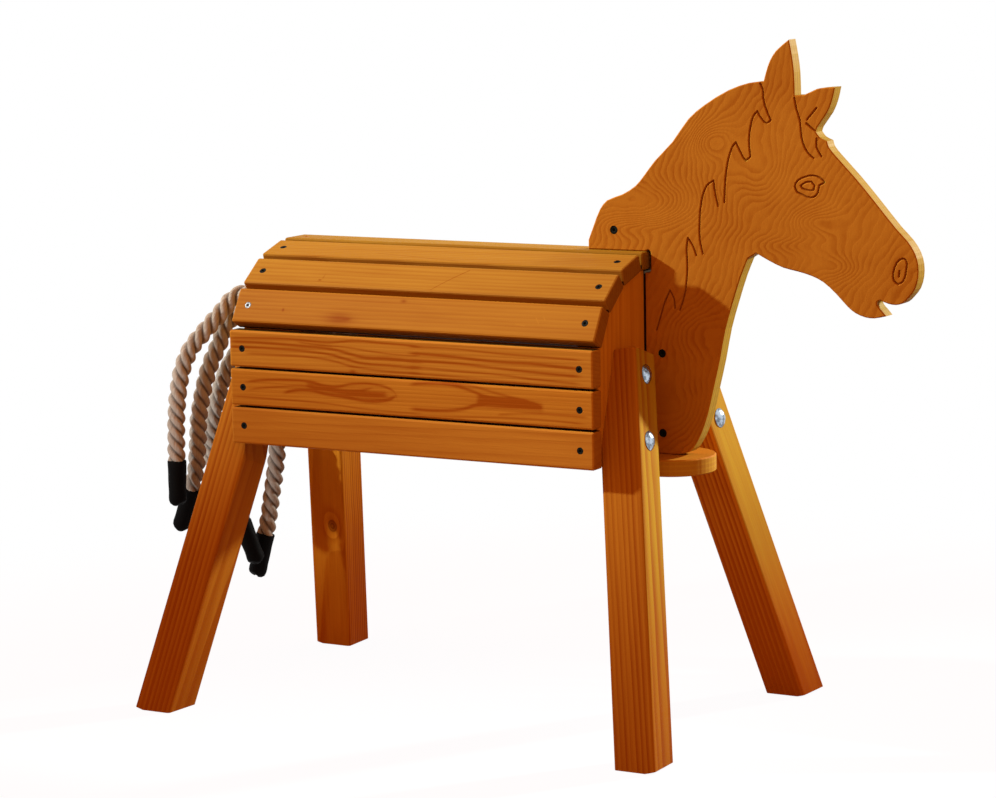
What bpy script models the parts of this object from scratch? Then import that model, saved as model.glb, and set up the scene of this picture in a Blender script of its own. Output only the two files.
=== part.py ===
"""Wooden play horse: a slatted barrel on two bulkheads, four splayed legs, a plywood head and a rope tail.

The horse faces +X and stands on Z = 0. Right is its own right side, -Y. Every length is in metres.
Places are measured from the body's middle, which an empty sets beside the origin of the whole horse.
"""

import math

import bmesh
import bpy
from mathutils import Matrix, Vector

ENDS = (("front", 1), ("rear", -1))
SIDES = (("right", -1), ("left", 1))

# Fits
FIT = 0.0003  # gap between pieces that touch
SCREW_PLAY = 0.0003  # a shank's clearance in its hole, on the radius
PAST = 0.002  # how far a cutter runs past the wood that it cuts
BODY_X = -0.1269  # the body's middle, seen from the middle of the whole horse

# Slats
SLAT_LENGTH = 0.528
SLAT_WIDTH = 0.047
SLAT_THICK = 0.022
SLAT_ROUND = 0.0025
SIDE_GAP = 0.0029  # between the upright slats
ARCH_GAP = 0.0023  # added to a slat's width to give each flat of the arch
SHOULDER_GAP = 0.0006  # between the top upright slat and the lowest sloping one
SIDE_SLATS = ("f", "e", "d")  # from the bottom up
# From the crest outward: each sloping slat's slope in degrees and its shift down the slope
ARCH_SLATS = (("a", 17.5, 0.0004), ("b", 37.2, -0.0003), ("c", 60.0, -0.0029))

# Bulkheads
BODY_BOTTOM = 0.3437
BULKHEAD_THICK = 0.028
END_OVERHANG = 0.006
BULKHEAD_ROUND = 0.0015

# Slat screws, whose holes are here
SLAT_SCREW_RADIUS = 0.0020
SLAT_SCREW_HEAD = 0.0044
SLAT_SCREW_LENGTH = 0.048
SLAT_SCREW_INSET = 0.019  # from the slat's end

# Legs
LEG_SIDE = 0.054
LEG_ROUND = 0.0035
SPLAY = math.radians(17.5)
FRONT_RAKE = math.radians(11.0)
REAR_RAKE = math.radians(9.75)
FRONT_HEEL = 0.0073  # where the leg's back leaves the bulkhead, above the body's bottom
REAR_HEEL = -0.0307
LEG_ABOVE_BOLT = 0.0235  # from the upper bolt to the top of the leg's middle line
TOE_LENGTH = 0.012
TOE_RISE = 0.003

# Leg bolts
BOLT_RADIUS = 0.005
BOLT_HEAD_RADIUS = 0.0123
BOLT_HEAD_HEIGHT = 0.0050
BOLT_HEAD_RIM = 0.0004  # the upright edge under the dome
BOLT_CHAMFER = 0.001  # at the shank's end
BOLT_NECK = 0.0045  # depth of the square neck
BOLT_NECK_PLAY = 0.00005  # by which the square stands outside the shank
BOLT_TAIL = 0.004  # past the nut
WASHER_RADIUS = 0.010
WASHER_THICK = 0.002
NUT_WIDTH = 0.017
NUT_HEIGHT = 0.008
SEAT_RADIUS = 0.012  # the counterbore that holds washer and nut
SEAT_DEPTH = 0.0045
BOLT_HEIGHTS = (("upper", 0.1093), ("lower", 0.0313))  # above the body's bottom, on the leg's face

# Head board
BOARD_THICK = 0.021
BOARD_ROUND = 0.0013
NOTCH_RELIEF = 0.004
BOARD_GAP = 0.0020  # from the bulkhead's face to the board's rear edge, which touches nothing
GROOVE_WIDTH = 0.0036
GROOVE_DEPTH = 0.0022
GROOVE_LEAD = 0.001  # how far a groove's cutter stands above the face
HEAD_REACH = 0.3655  # from the bulkhead's face to the muzzle
HEAD_RISE = 0.2623  # from the crest slat's top to the ear's tip

# Pieces that carry the head board
SHELF_THICK = 0.021
SHELF_HALF_WIDTH = 0.055
SHELF_REACH = 0.0870  # forward of the bulkhead's front
SHELF_ROUND = 0.0015
BATTEN_THICK = 0.021
BATTEN_AHEAD = 0.0135  # wood in front of the neck screws
BATTEN_BELOW = 0.0122  # wood under the lower neck screw
BATTEN_ABOVE = 0.0758  # wood over the upper neck screw
CLEAT_LENGTH = 0.050
CLEAT_ABOVE = 0.0147  # wood over the crest screw
CLEAT_THICK = 0.021
CLEAT_SETBACK = 0.010  # behind the crest slat's front end
TIMBER_ROUND = 0.0015

# Frame screws
SCREW_RADIUS = 0.0022
SCREW_HEAD_RADIUS = 0.0052
SCREW_HEAD_HEIGHT = 0.0028
SCREW_HEAD_RIM = 0.0006
SCREW_SUNK = 0.0006
SCREW_TIP_RADIUS = 0.0009
SCREW_POINT = 0.004  # length of the taper
NECK_SCREW_LENGTH = 0.038
NECK_SCREW_SETBACK = 0.0245  # forward of the bulkhead
NECK_SCREW_HEIGHTS = (("upper", 0.1260), ("lower", 0.0260))  # above the body's bottom
CLEAT_SCREW_LENGTH = 0.056
CREST_SCREW_REAR = 0.013  # the crest screw, from the cleat's rear end
CREST_SCREW_HEIGHT = 0.0253  # the crest screw, above the crest slat
CLEAT_SCREW_FRONT = 0.014  # from the cleat's front end
CLEAT_SCREW_EDGE = 0.0067  # from the crest slat's side, so that it stays inside the slat
BATTEN_SCREW_LENGTH = 0.056
BATTEN_SCREW_INSET = 0.040  # from the batten's ends
SHELF_SCREW_LENGTH = 0.045
SHELF_SCREW_SPREAD = 0.036
SHELF_SCREW_FRONT = 0.012  # forward of the bulkhead

# Rope tail
ROPE_RADIUS = 0.012
ROPE_PLAY = 0.0015
ROPE_LEAD = 0.004  # the straight stretch outside the bulkhead
TAIL_HIGH = 0.1763  # the upper holes, above the body's bottom
KNOT_RADIUS = 0.022
KNOT_GAP = 0.006  # between two knots
KNOT_LENGTH = 0.040
KNOT_ROUND = 0.008
CAP_WALL = 0.0008
CAP_LENGTH = 0.055
CAP_ROUND = 0.004

# Colours
PINE = (0.62, 0.27, 0.045)
PINE_SHADED = (0.45, 0.16, 0.025)
PLYWOOD = (0.40, 0.11, 0.012)
ROPE_COLOUR = (0.36, 0.24, 0.16)
BLACK_CAP = (0.006, 0.006, 0.006)
ZINC = (0.72, 0.74, 0.78)
DARK_STEEL = (0.025, 0.028, 0.022)


def clear_scene():
    for item in list(bpy.data.objects):
        bpy.data.objects.remove(item, do_unlink=True)


def material(name, colour, roughness, metallic=0.0):
    made = bpy.data.materials.new(name)
    made.use_nodes = True
    shader = made.node_tree.nodes["Principled BSDF"]
    shader.inputs["Base Color"].default_value = (*colour, 1.0)
    shader.inputs["Roughness"].default_value = roughness
    shader.inputs["Metallic"].default_value = metallic
    made.diffuse_color = (*colour, 1.0)
    return made


def place(name, mesh, horse, look=None, matrix=None):
    """A new object that holds the mesh, in the horse's frame. Without a look it is a cutter."""
    made = bpy.data.objects.new(name, mesh)
    bpy.context.scene.collection.objects.link(made)
    made.parent = horse
    made.matrix_basis = matrix or Matrix.Identity(4)
    if look is None:
        made.hide_render = True
        made.display_type = "WIRE"
    else:
        mesh.materials.append(look)
    return made


def mesh_from(bm, name, smooth_angle=35.0):
    bmesh.ops.recalc_face_normals(bm, faces=bm.faces)
    mesh = bpy.data.meshes.new(name)
    bm.to_mesh(mesh)
    bm.free()
    mesh.shade_smooth()
    mesh.set_sharp_from_angle(angle=math.radians(smooth_angle))
    return mesh


def box_bm(low, high):
    bm = bmesh.new()
    bmesh.ops.create_cube(bm, size=1.0)
    low, high = Vector(low), Vector(high)
    bmesh.ops.scale(bm, vec=high - low, verts=bm.verts)
    bmesh.ops.translate(bm, vec=(low + high) / 2, verts=bm.verts)
    return bm


def round_edges(bm, width, segments=2, edges=None):
    """Rounds the given edges, or every edge, by as many flats as segments."""
    bmesh.ops.bevel(
        bm, geom=edges or bm.edges[:], offset=width, segments=segments, profile=0.5, affect="EDGES"
    )


def level_edges(bm, axis):
    """The edges that stay at one place along an axis: an extruded solid's two rims."""
    return [e for e in bm.edges if abs(getattr(e.verts[0].co - e.verts[1].co, axis)) < 1e-6]


def cut_flat(bm, point, outward):
    """Removes what lies past a plane, and closes the cut."""
    everything = bm.verts[:] + bm.edges[:] + bm.faces[:]
    cut = bmesh.ops.bisect_plane(bm, geom=everything, plane_co=point, plane_no=outward, clear_outer=True)
    rim = [item for item in cut["geom_cut"] if isinstance(item, bmesh.types.BMEdge)]
    bmesh.ops.contextual_create(bm, geom=rim)


def extruded(outline, start, end, axes):
    """A prism. The outline's coordinates run along the first two axes, and its length along the third."""
    bm = bmesh.new()
    first, second, along = (Vector(axis) for axis in axes)
    ring = [bm.verts.new(first * u + second * v + along * start) for u, v in outline]
    face = bm.faces.new(ring)
    grown = bmesh.ops.extrude_face_region(bm, geom=[face])
    moved = [item for item in grown["geom"] if isinstance(item, bmesh.types.BMVert)]
    bmesh.ops.translate(bm, vec=along * (end - start), verts=moved)
    return bm


def turned(profile, steps):
    """A solid of revolution about local Z. Its (radius, height) profile starts and ends on the axis."""
    bm = bmesh.new()
    angles = [2 * math.pi * k / steps for k in range(steps)]
    rings = []
    for radius, height in profile:
        if radius == 0.0:
            rings.append([bm.verts.new((0.0, 0.0, height))])
            continue
        rings.append([bm.verts.new((radius * math.cos(a), radius * math.sin(a), height)) for a in angles])
    for lower, upper in zip(rings, rings[1:]):
        for k in range(steps):
            corners = [lower[k % len(lower)], lower[(k + 1) % len(lower)]]
            corners += [upper[(k + 1) % len(upper)], upper[k % len(upper)]]
            bm.faces.new(list(dict.fromkeys(corners)))
    return bm


def along(direction, origin):
    """The matrix that turns local Z to a direction and moves the origin."""
    turn = Vector(direction).to_track_quat("Z", "Y").to_matrix().to_4x4()
    return Matrix.Translation(origin) @ turn


def subtract(target, cutter):
    cut = target.modifiers.new("cut_" + cutter.name, "BOOLEAN")
    cut.operation = "DIFFERENCE"
    cut.object = cutter


def unite(target, other):
    join = target.modifiers.new("join_" + other.name, "BOOLEAN")
    join.operation = "UNION"
    join.object = other


def drill(target, radius, origin, direction, depth, horse, steps=12, head_radius=None):
    """A round hole that enters at the origin, with a 90 degree countersink if it takes a screw's head."""
    profile = [(0.0, -depth), (radius, -depth)]
    if head_radius:
        profile += [(radius, radius - head_radius), (head_radius, 0.0), (head_radius, PAST)]
    else:
        profile += [(radius, PAST)]
    profile += [(0.0, PAST)]
    mesh = mesh_from(turned(profile, steps), "hole")
    cutter = place("hole_in_" + target.name, mesh, horse, matrix=along(direction, origin))
    subtract(target, cutter)


# Body section: the arch's flats, from the crest outward and down

FLAT = SLAT_WIDTH + ARCH_GAP
SLOPES = [math.radians(slope) for _, slope, _ in ARCH_SLATS]
HALF_WIDTH = FLAT * (0.5 + sum(math.cos(slope) for slope in SLOPES))
SIDE_TOP = BODY_BOTTOM + len(SIDE_SLATS) * SLAT_WIDTH + (len(SIDE_SLATS) - 1) * SIDE_GAP
BULKHEAD_FACE = SLAT_LENGTH / 2 - END_OVERHANG
SHELF_TOP = BODY_BOTTOM - FIT


def shoulder_height():
    """Where the arch's lowest flat meets the upright side, so that its slat clears the slat below."""
    slope = SLOPES[-1]
    from_corner = ARCH_GAP / 2 - ARCH_SLATS[-1][2]
    return SIDE_TOP + SHOULDER_GAP - (from_corner + FIT * math.cos(slope)) / math.sin(slope)


def arch_corners():
    """The arch's corners as (distance from the middle, height), from the shoulder up to the crest."""
    corners = [Vector((HALF_WIDTH, shoulder_height()))]
    for slope in reversed(SLOPES):
        corners.append(corners[-1] + FLAT * Vector((-math.cos(slope), math.sin(slope))))
    return corners


ARCH = arch_corners()
CREST_BASE = ARCH[-1].y
CREST_TOP = CREST_BASE + FIT + SLAT_THICK


def slat_places():
    """Each slat's name, the middle of its inner face, and its slope from level, for both sides."""
    places = [("slat_crest", Vector((0.0, CREST_BASE + FIT)), 0.0)]
    for side, sign in SIDES:
        for index, letter in enumerate(SIDE_SLATS):
            height = BODY_BOTTOM + index * (SLAT_WIDTH + SIDE_GAP) + SLAT_WIDTH / 2
            middle = Vector((sign * (HALF_WIDTH + FIT), height))
            places.append((f"slat_{side}_{letter}", middle, -sign * math.pi / 2))
        for index, (letter, _, shift) in enumerate(ARCH_SLATS):
            slope = SLOPES[index]
            upper = ARCH[len(SLOPES) - index]
            lower = ARCH[len(SLOPES) - index - 1]
            middle = (upper + lower) / 2 + shift * Vector((math.cos(slope), -math.sin(slope)))
            middle += FIT * Vector((math.sin(slope), math.cos(slope)))
            places.append((f"slat_{side}_{letter}", Vector((sign * middle.x, middle.y)), -sign * slope))
    return places


def slat_screws(middle, slope):
    """Where a slat's two screws enter its outer face, and the way out of the wood."""
    outward = Vector((0.0, -math.sin(slope), math.cos(slope)))
    face = Vector((0.0, middle.x, middle.y)) + outward * SLAT_THICK
    reach = SLAT_LENGTH / 2 - SLAT_SCREW_INSET
    return [(face + Vector((end * reach, 0.0, 0.0)), outward) for end in (-1, 1)]


def make_slats(horse, look):
    for name, middle, slope in slat_places():
        half = SLAT_LENGTH / 2
        bm = box_bm((-half, -SLAT_WIDTH / 2, 0.0), (half, SLAT_WIDTH / 2, SLAT_THICK))
        round_edges(bm, SLAT_ROUND)
        matrix = Matrix.Translation((0.0, middle.x, middle.y)) @ Matrix.Rotation(slope, 4, "X")
        slat = place(name, mesh_from(bm, name), horse, look, matrix)
        for entry, outward in slat_screws(middle, slope):
            radius = SLAT_SCREW_RADIUS + SCREW_PLAY
            head_radius = SLAT_SCREW_HEAD + SCREW_PLAY
            drill(slat, radius, entry, outward, SLAT_THICK + PAST, horse, head_radius=head_radius)


def make_bulkhead(name, end, horse, look):
    """A bulkhead with the arch's outline; end is 1 at the front and -1 at the rear."""
    side = [Vector((HALF_WIDTH, BODY_BOTTOM))] + ARCH
    outline = [(-p.x, p.y) for p in side] + [(p.x, p.y) for p in reversed(side)]
    inner = end * (BULKHEAD_FACE - BULKHEAD_THICK)
    outer = end * BULKHEAD_FACE
    bm = extruded(outline, inner, outer, ((0, 1, 0), (0, 0, 1), (1, 0, 0)))
    round_edges(bm, BULKHEAD_ROUND, 1, level_edges(bm, "x"))
    bulkhead = place(name, mesh_from(bm, name), horse, look)
    depth = SLAT_SCREW_LENGTH - SLAT_THICK - FIT + SCREW_PLAY
    for _, middle, slope in slat_places():
        entry, outward = slat_screws(middle, slope)[(end + 1) // 2]
        entry = entry - outward * (SLAT_THICK + FIT)
        drill(bulkhead, SLAT_SCREW_RADIUS, entry, outward, depth, horse, steps=8)
    return bulkhead


# Legs

def leg_axes(end, side):
    """Unit vectors of a leg: its face normal along the horse, its outer side's normal, and up the leg."""
    rake = FRONT_RAKE if end > 0 else REAR_RAKE
    outer = Vector((0.0, side * math.cos(SPLAY), math.sin(SPLAY)))
    straight = Vector((0.0, side * math.sin(SPLAY), -math.cos(SPLAY)))
    down = math.cos(rake) * straight + math.sin(rake) * Vector((end, 0.0, 0.0))
    face = math.cos(rake) * Vector((end, 0.0, 0.0)) - math.sin(rake) * straight
    return face, outer, -down


def leg_middle(end, side, height):
    """The leg's middle line at a height above the floor.

    Its back leaves the bulkhead's face at the heel, and its outer side meets the bulkhead's bottom corner.
    """
    face, outer, up = leg_axes(end, side)
    heel = BODY_BOTTOM + (FRONT_HEEL if end > 0 else REAR_HEEL)
    corner = Vector((0.0, side * HALF_WIDTH, BODY_BOTTOM))
    x = end * (BULKHEAD_FACE + FIT) + LEG_SIDE / 2 / face.x
    y = (outer.dot(corner) - LEG_SIDE / 2 - outer.z * heel) / outer.y
    return Vector((x, y, heel)) + up * ((height - heel) / up.z)


def face_point(end, side, height):
    """The point at this height on the middle of the leg's outer end face, where a bolt enters."""
    face, _, up = leg_axes(end, side)
    point = leg_middle(end, side, height) + face * (LEG_SIDE / 2)
    return point + up * ((height - point.z) / up.z)


def make_leg(name, end, side, horse, look):
    face, outer, up = leg_axes(end, side)
    top = leg_middle(end, side, BODY_BOTTOM + BOLT_HEIGHTS[0][1] + LEG_ABOVE_BOLT)
    below = leg_middle(end, side, -LEG_SIDE)
    half = LEG_SIDE / 2
    bm = box_bm((-half, -half, 0.0), (half, half, (top - below).length))
    round_edges(bm, LEG_ROUND, 3)
    frame = Matrix((face, outer, up)).transposed().to_4x4()
    bmesh.ops.transform(bm, matrix=Matrix.Translation(below) @ frame, verts=bm.verts)
    bmesh.ops.recalc_face_normals(bm, faces=bm.faces)
    cut_flat(bm, (end * (BULKHEAD_FACE + FIT), 0.0, 0.0), (-end, 0.0, 0.0))
    cut_flat(bm, (0.0, 0.0, 0.0), (0.0, 0.0, -1.0))
    toe = face_point(end, side, 0.0)
    slant = Vector((end * TOE_RISE, 0.0, -TOE_LENGTH)).normalized()
    cut_flat(bm, toe + Vector((-end * TOE_LENGTH, 0.0, 0.0)), slant)
    return place(name, mesh_from(bm, name), horse, look)


def make_bolt(leg, bulkhead, label, height, end, side, horse, look):
    """A dome-head bolt square to the leg's face, with washer and nut on a square-cut seat behind."""
    face, outer, _ = leg_axes(end, side)
    entry = face_point(end, side, BODY_BOTTOM + height)
    inner = end * (BULKHEAD_FACE - BULKHEAD_THICK)
    to_back = (end * entry.x - end * inner) / (end * face.x)
    to_seat = to_back - SEAT_DEPTH
    shank_end = to_seat + FIT + WASHER_THICK + NUT_HEIGHT + BOLT_TAIL
    turn = Matrix((outer, face.cross(outer), face)).transposed().to_4x4()
    matrix = Matrix.Translation(entry) @ turn
    profile = [(0.0, -shank_end), (BOLT_RADIUS - BOLT_CHAMFER, -shank_end)]
    profile += [(BOLT_RADIUS, BOLT_CHAMFER - shank_end), (BOLT_RADIUS, FIT), (BOLT_HEAD_RADIUS, FIT)]
    sphere = (BOLT_HEAD_RADIUS**2 + BOLT_HEAD_HEIGHT**2) / (2 * BOLT_HEAD_HEIGHT)
    swing = math.asin(BOLT_HEAD_RADIUS / sphere)
    summit = FIT + BOLT_HEAD_RIM + BOLT_HEAD_HEIGHT
    for k in range(4):
        angle = swing * (1 - k / 4)
        profile.append((sphere * math.sin(angle), summit - sphere * (1 - math.cos(angle))))
    profile.append((0.0, summit))
    name = f"bolt_{leg.name[4:]}_{label}"
    bolt = place(name, mesh_from(turned(profile, 24), name), horse, look, matrix)
    neck = BOLT_RADIUS + BOLT_NECK_PLAY
    neck_bm = box_bm((-neck, -neck, -BOLT_NECK), (neck, neck, FIT + BOLT_HEAD_RIM / 2))
    unite(bolt, place("neck_of_" + name, mesh_from(neck_bm, "neck"), horse, matrix=matrix))
    hole = BOLT_RADIUS + SCREW_PLAY
    square = neck + SCREW_PLAY
    square_bm = box_bm((-square, -square, -BOLT_NECK - FIT), (square, square, PAST))
    subtract(leg, place("square_for_" + name, mesh_from(square_bm, "square"), horse, matrix=matrix))
    for wood in (leg, bulkhead):
        drill(wood, hole, entry, face, shank_end + SEAT_RADIUS, horse, steps=16)
    # The seat's cutter is long enough to clear the slanted wood beside it.
    bottom = -to_seat - SEAT_DEPTH - 2 * SEAT_RADIUS
    seat = turned([(0.0, bottom), (SEAT_RADIUS, bottom), (SEAT_RADIUS, -to_seat), (0.0, -to_seat)], 20)
    subtract(bulkhead, place("seat_for_" + name, mesh_from(seat, "seat"), horse, matrix=matrix))
    make_nut("nut" + name[4:], matrix, -to_seat - FIT, hole, horse, look)


def make_nut(name, matrix, top, hole, horse, look):
    """Washer and hexagon nut as one piece, hanging down from a local height."""
    under = top - WASHER_THICK
    washer = turned([(0.0, under), (WASHER_RADIUS, under), (WASHER_RADIUS, top), (0.0, top)], 20)
    piece = place(name, mesh_from(washer, name), horse, look, matrix)
    corner = NUT_WIDTH / math.sqrt(3)
    low = under - NUT_HEIGHT
    high = top - WASHER_THICK / 2
    hexagon = turned([(0.0, low), (corner, low), (corner, high), (0.0, high)], 6)
    unite(piece, place("hexagon_of_" + name, mesh_from(hexagon, "hexagon"), horse, matrix=matrix))
    bore = turned([(0.0, low - PAST), (hole, low - PAST), (hole, top + PAST), (0.0, top + PAST)], 16)
    subtract(piece, place("bore_of_" + name, mesh_from(bore, "bore"), horse, matrix=matrix))


# Head board

# Runs of the outline, each a smooth curve. Each point is a share of the reach forward of the bulkhead's
# face and a share of the rise above the crest slat's top. A run starts where the run before it ends.
NAPE = [(-0.2115, 0.0431), (-0.1899, 0.1174), (-0.1655, 0.1925), (-0.1382, 0.2356), (-0.0793, 0.2661)]
NAPE += [(-0.0285, 0.3088), (0.0057, 0.3614), (0.0451, 0.4281), (0.1127, 0.5200), (0.1735, 0.6291)]
NAPE += [(0.2339, 0.6950), (0.3231, 0.7652), (0.3981, 0.7998), (0.4512, 0.8082)]
EAR_BACK = [(0.4512, 0.8082), (0.4602, 0.8513), (0.4739, 0.9020), (0.4971, 0.9489), (0.5434, 1.0000)]
EAR_FRONT = [(0.5434, 1.0000), (0.5532, 0.9321), (0.5611, 0.8509), (0.5636, 0.7465)]
FAR_EAR_TOP = [(0.5636, 0.7465), (0.5975, 0.7491), (0.6430, 0.7770), (0.6752, 0.7835), (0.7078, 0.7861)]
FAR_EAR_FRONT = [(0.7078, 0.7861), (0.6974, 0.7263), (0.6791, 0.6676), (0.6443, 0.6016), (0.6391, 0.5806)]
BROW = [(0.6391, 0.5806), (0.6525, 0.5570), (0.6785, 0.5402)]
FACE = [(0.6785, 0.5402), (0.6854, 0.5120), (0.7149, 0.4659), (0.7784, 0.3767), (0.8457, 0.2730)]
FACE += [(0.9220, 0.1517), (0.9644, 0.0926), (0.9888, 0.0412), (1.0000, -0.0107), (1.0000, -0.0686)]
FACE += [(0.9888, -0.1216), (0.9685, -0.1590), (0.9466, -0.1872), (0.9220, -0.1971), (0.8952, -0.1933)]
FACE += [(0.8659, -0.1788)]
MOUTH = [(0.8659, -0.1788), (0.8553, -0.1876), (0.8577, -0.2040), (0.8728, -0.2268), (0.8881, -0.2509)]
JAW = [(0.8881, -0.2509), (0.8454, -0.2634), (0.8137, -0.2608), (0.7776, -0.2429), (0.7502, -0.2150)]
JAW += [(0.7094, -0.1586), (0.6637, -0.1075), (0.6222, -0.0816), (0.5718, -0.0637), (0.5198, -0.0492)]
JAW += [(0.4679, -0.0198), (0.4211, 0.0126)]
# The chest's heights are shares of the height from the body's bottom to the crest's top.
CHEST = [(0.3904, 0.987), (0.3650, 0.902), (0.3335, 0.769), (0.3053, 0.636), (0.2829, 0.480)]
CHEST += [(0.2569, 0.327), (0.2375, 0.215), (0.2134, 0.118), (0.1929, 0.063), (0.1677, 0.019)]
CHEST_FOOT = 0.1204  # where the chest's curve meets the shelf, as a share of the reach

# The carved lines, in the outline's shares
CARVED = {
    "lock_1_front": [(0.4394, 0.7995), (0.4490, 0.7735), (0.4509, 0.7324), (0.4580, 0.6916)]
    + [(0.4772, 0.6306)],
    "lock_1_back": [(0.4772, 0.6306), (0.4635, 0.6157), (0.4449, 0.6359), (0.4287, 0.6702)],
    "lock_2_front": [(0.4287, 0.6702), (0.4126, 0.6435), (0.4027, 0.5905), (0.3978, 0.5318)]
    + [(0.4022, 0.4609)],
    "lock_2_back": [(0.4022, 0.4609), (0.3855, 0.4426), (0.3694, 0.4739), (0.3497, 0.5246)],
    "lock_3_front": [(0.3497, 0.5246), (0.3354, 0.5006), (0.3185, 0.4289), (0.3089, 0.3393)]
    + [(0.3056, 0.2444)],
    "lock_3_back": [(0.2821, 0.2257), (0.2728, 0.2791), (0.2662, 0.3439)],
    "lock_4_front": [(0.2662, 0.3439), (0.2402, 0.3191), (0.2205, 0.2470), (0.2131, 0.1525)]
    + [(0.2131, 0.0694), (0.2241, 0.0000)],
    "lock_4_back": [(0.1992, -0.0088), (0.1871, 0.0374), (0.1685, 0.0717)],
    "lock_5_front": [(0.1685, 0.0717), (0.1636, 0.0229), (0.1658, -0.0686), (0.1570, -0.1792)]
    + [(0.1352, -0.2711)],
    "lock_5_back": [(0.1163, -0.2642), (0.1133, -0.2173), (0.0982, -0.1792)],
    "lock_6": [(0.0982, -0.1792), (0.0788, -0.2352), (0.0594, -0.3153), (0.0462, -0.3717)],
    "cheek": [(0.5631, 0.7347), (0.5707, 0.6824), (0.5822, 0.6359), (0.5860, 0.5841)]
    + [(0.5926, 0.5318), (0.6104, 0.4857), (0.6331, 0.4598)],
    "far_ear": [(0.6427, 0.6904), (0.6085, 0.6367)],
    "ear_fold": [(0.6060, 0.6191), (0.6383, 0.5856)],
    "forelock": [(0.6424, 0.5505), (0.6424, 0.5097), (0.6605, 0.4693)],
    "eyelid": [(0.5729, 0.3027), (0.5631, 0.3279), (0.5732, 0.3553), (0.6011, 0.3740)]
    + [(0.6282, 0.3809), (0.6558, 0.3706), (0.6695, 0.3530), (0.6512, 0.3366)],
    "eye_rim": [(0.6512, 0.3366), (0.6465, 0.3058), (0.6375, 0.2878), (0.6189, 0.2783)]
    + [(0.5959, 0.2890), (0.5729, 0.3027)],
    "pupil_top": [(0.5847, 0.3324), (0.6008, 0.3477), (0.6235, 0.3515), (0.6350, 0.3343)],
    "pupil_base": [(0.6350, 0.3343), (0.6282, 0.3134), (0.6098, 0.3130), (0.5915, 0.3214)]
    + [(0.5847, 0.3324)],
    "nostril_back": [(0.9622, -0.0099), (0.9576, 0.0103), (0.9445, 0.0156), (0.9264, -0.0030)]
    + [(0.9133, -0.0503), (0.9152, -0.0850), (0.9311, -0.1018)],
    "nostril_front": [(0.9311, -0.1018), (0.9464, -0.0892), (0.9557, -0.0595), (0.9590, -0.0324)]
    + [(0.9622, -0.0099)],
    "nostril_line": [(0.9352, -0.0404), (0.9332, -0.0667)],
}


def smooth(points, per_span=2):
    """Points on a smooth curve through the given ones, with both ends."""
    first = Vector(points[0]) * 2 - Vector(points[1])
    last = Vector(points[-1]) * 2 - Vector(points[-2])
    padded = [first, *(Vector(p) for p in points), last]
    found = []
    for before, start, end, after in zip(padded, padded[1:], padded[2:], padded[3:]):
        t1 = math.sqrt((start - before).length)
        t2 = t1 + math.sqrt((end - start).length)
        t3 = t2 + math.sqrt((after - end).length)
        for k in range(per_span):
            t = t1 + (t2 - t1) * k / per_span
            a1 = before.lerp(start, t / t1)
            a2 = start.lerp(end, (t - t1) / (t2 - t1))
            a3 = end.lerp(after, (t - t2) / (t3 - t2))
            b1 = a1.lerp(a2, t / t2)
            b2 = a2.lerp(a3, (t - t1) / (t3 - t1))
            found.append(b1.lerp(b2, (t - t1) / (t2 - t1)))
    found.append(padded[-2])
    return found


def on_board(points):
    """Places on the board as (x, z), from shares of the head's reach and rise."""
    return [Vector((BULKHEAD_FACE + u * HEAD_REACH, CREST_TOP + v * HEAD_RISE)) for u, v in points]


def board_outline():
    """The head board's outline as (x, z), from its rear corner on the crest slat over the head and round."""
    depth = CREST_TOP - BODY_BOTTOM
    seat = CREST_TOP + FIT
    back = BULKHEAD_FACE + BOARD_GAP
    nose = SLAT_LENGTH / 2 + NOTCH_RELIEF
    outline = [Vector((on_board(NAPE)[0].x, seat))]
    for run in (NAPE, EAR_BACK, EAR_FRONT, FAR_EAR_TOP, FAR_EAR_FRONT, BROW, FACE, MOUTH, JAW):
        outline += smooth(on_board(run))[:-1]
    outline.append(on_board(JAW)[-1])
    chest = [(BULKHEAD_FACE + u * HEAD_REACH, BODY_BOTTOM + share * depth) for u, share in CHEST]
    outline += smooth([*chest, (BULKHEAD_FACE + CHEST_FOOT * HEAD_REACH, BODY_BOTTOM)])
    outline.append(Vector((back, BODY_BOTTOM)))
    # A relief goes round the crest slat's front end.
    low = CREST_BASE - NOTCH_RELIEF
    outline.append(Vector((back, low)))
    for centre_height, turn in ((low + NOTCH_RELIEF, -90), (CREST_TOP - NOTCH_RELIEF / 2, 0)):
        centre = Vector((nose - NOTCH_RELIEF, centre_height))
        for k in range(4):
            angle = math.radians(turn + 30 * k)
            outline.append(centre + NOTCH_RELIEF * Vector((math.cos(angle), math.sin(angle))))
    outline.append(Vector((nose - 2 * NOTCH_RELIEF, seat)))
    return outline


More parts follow.
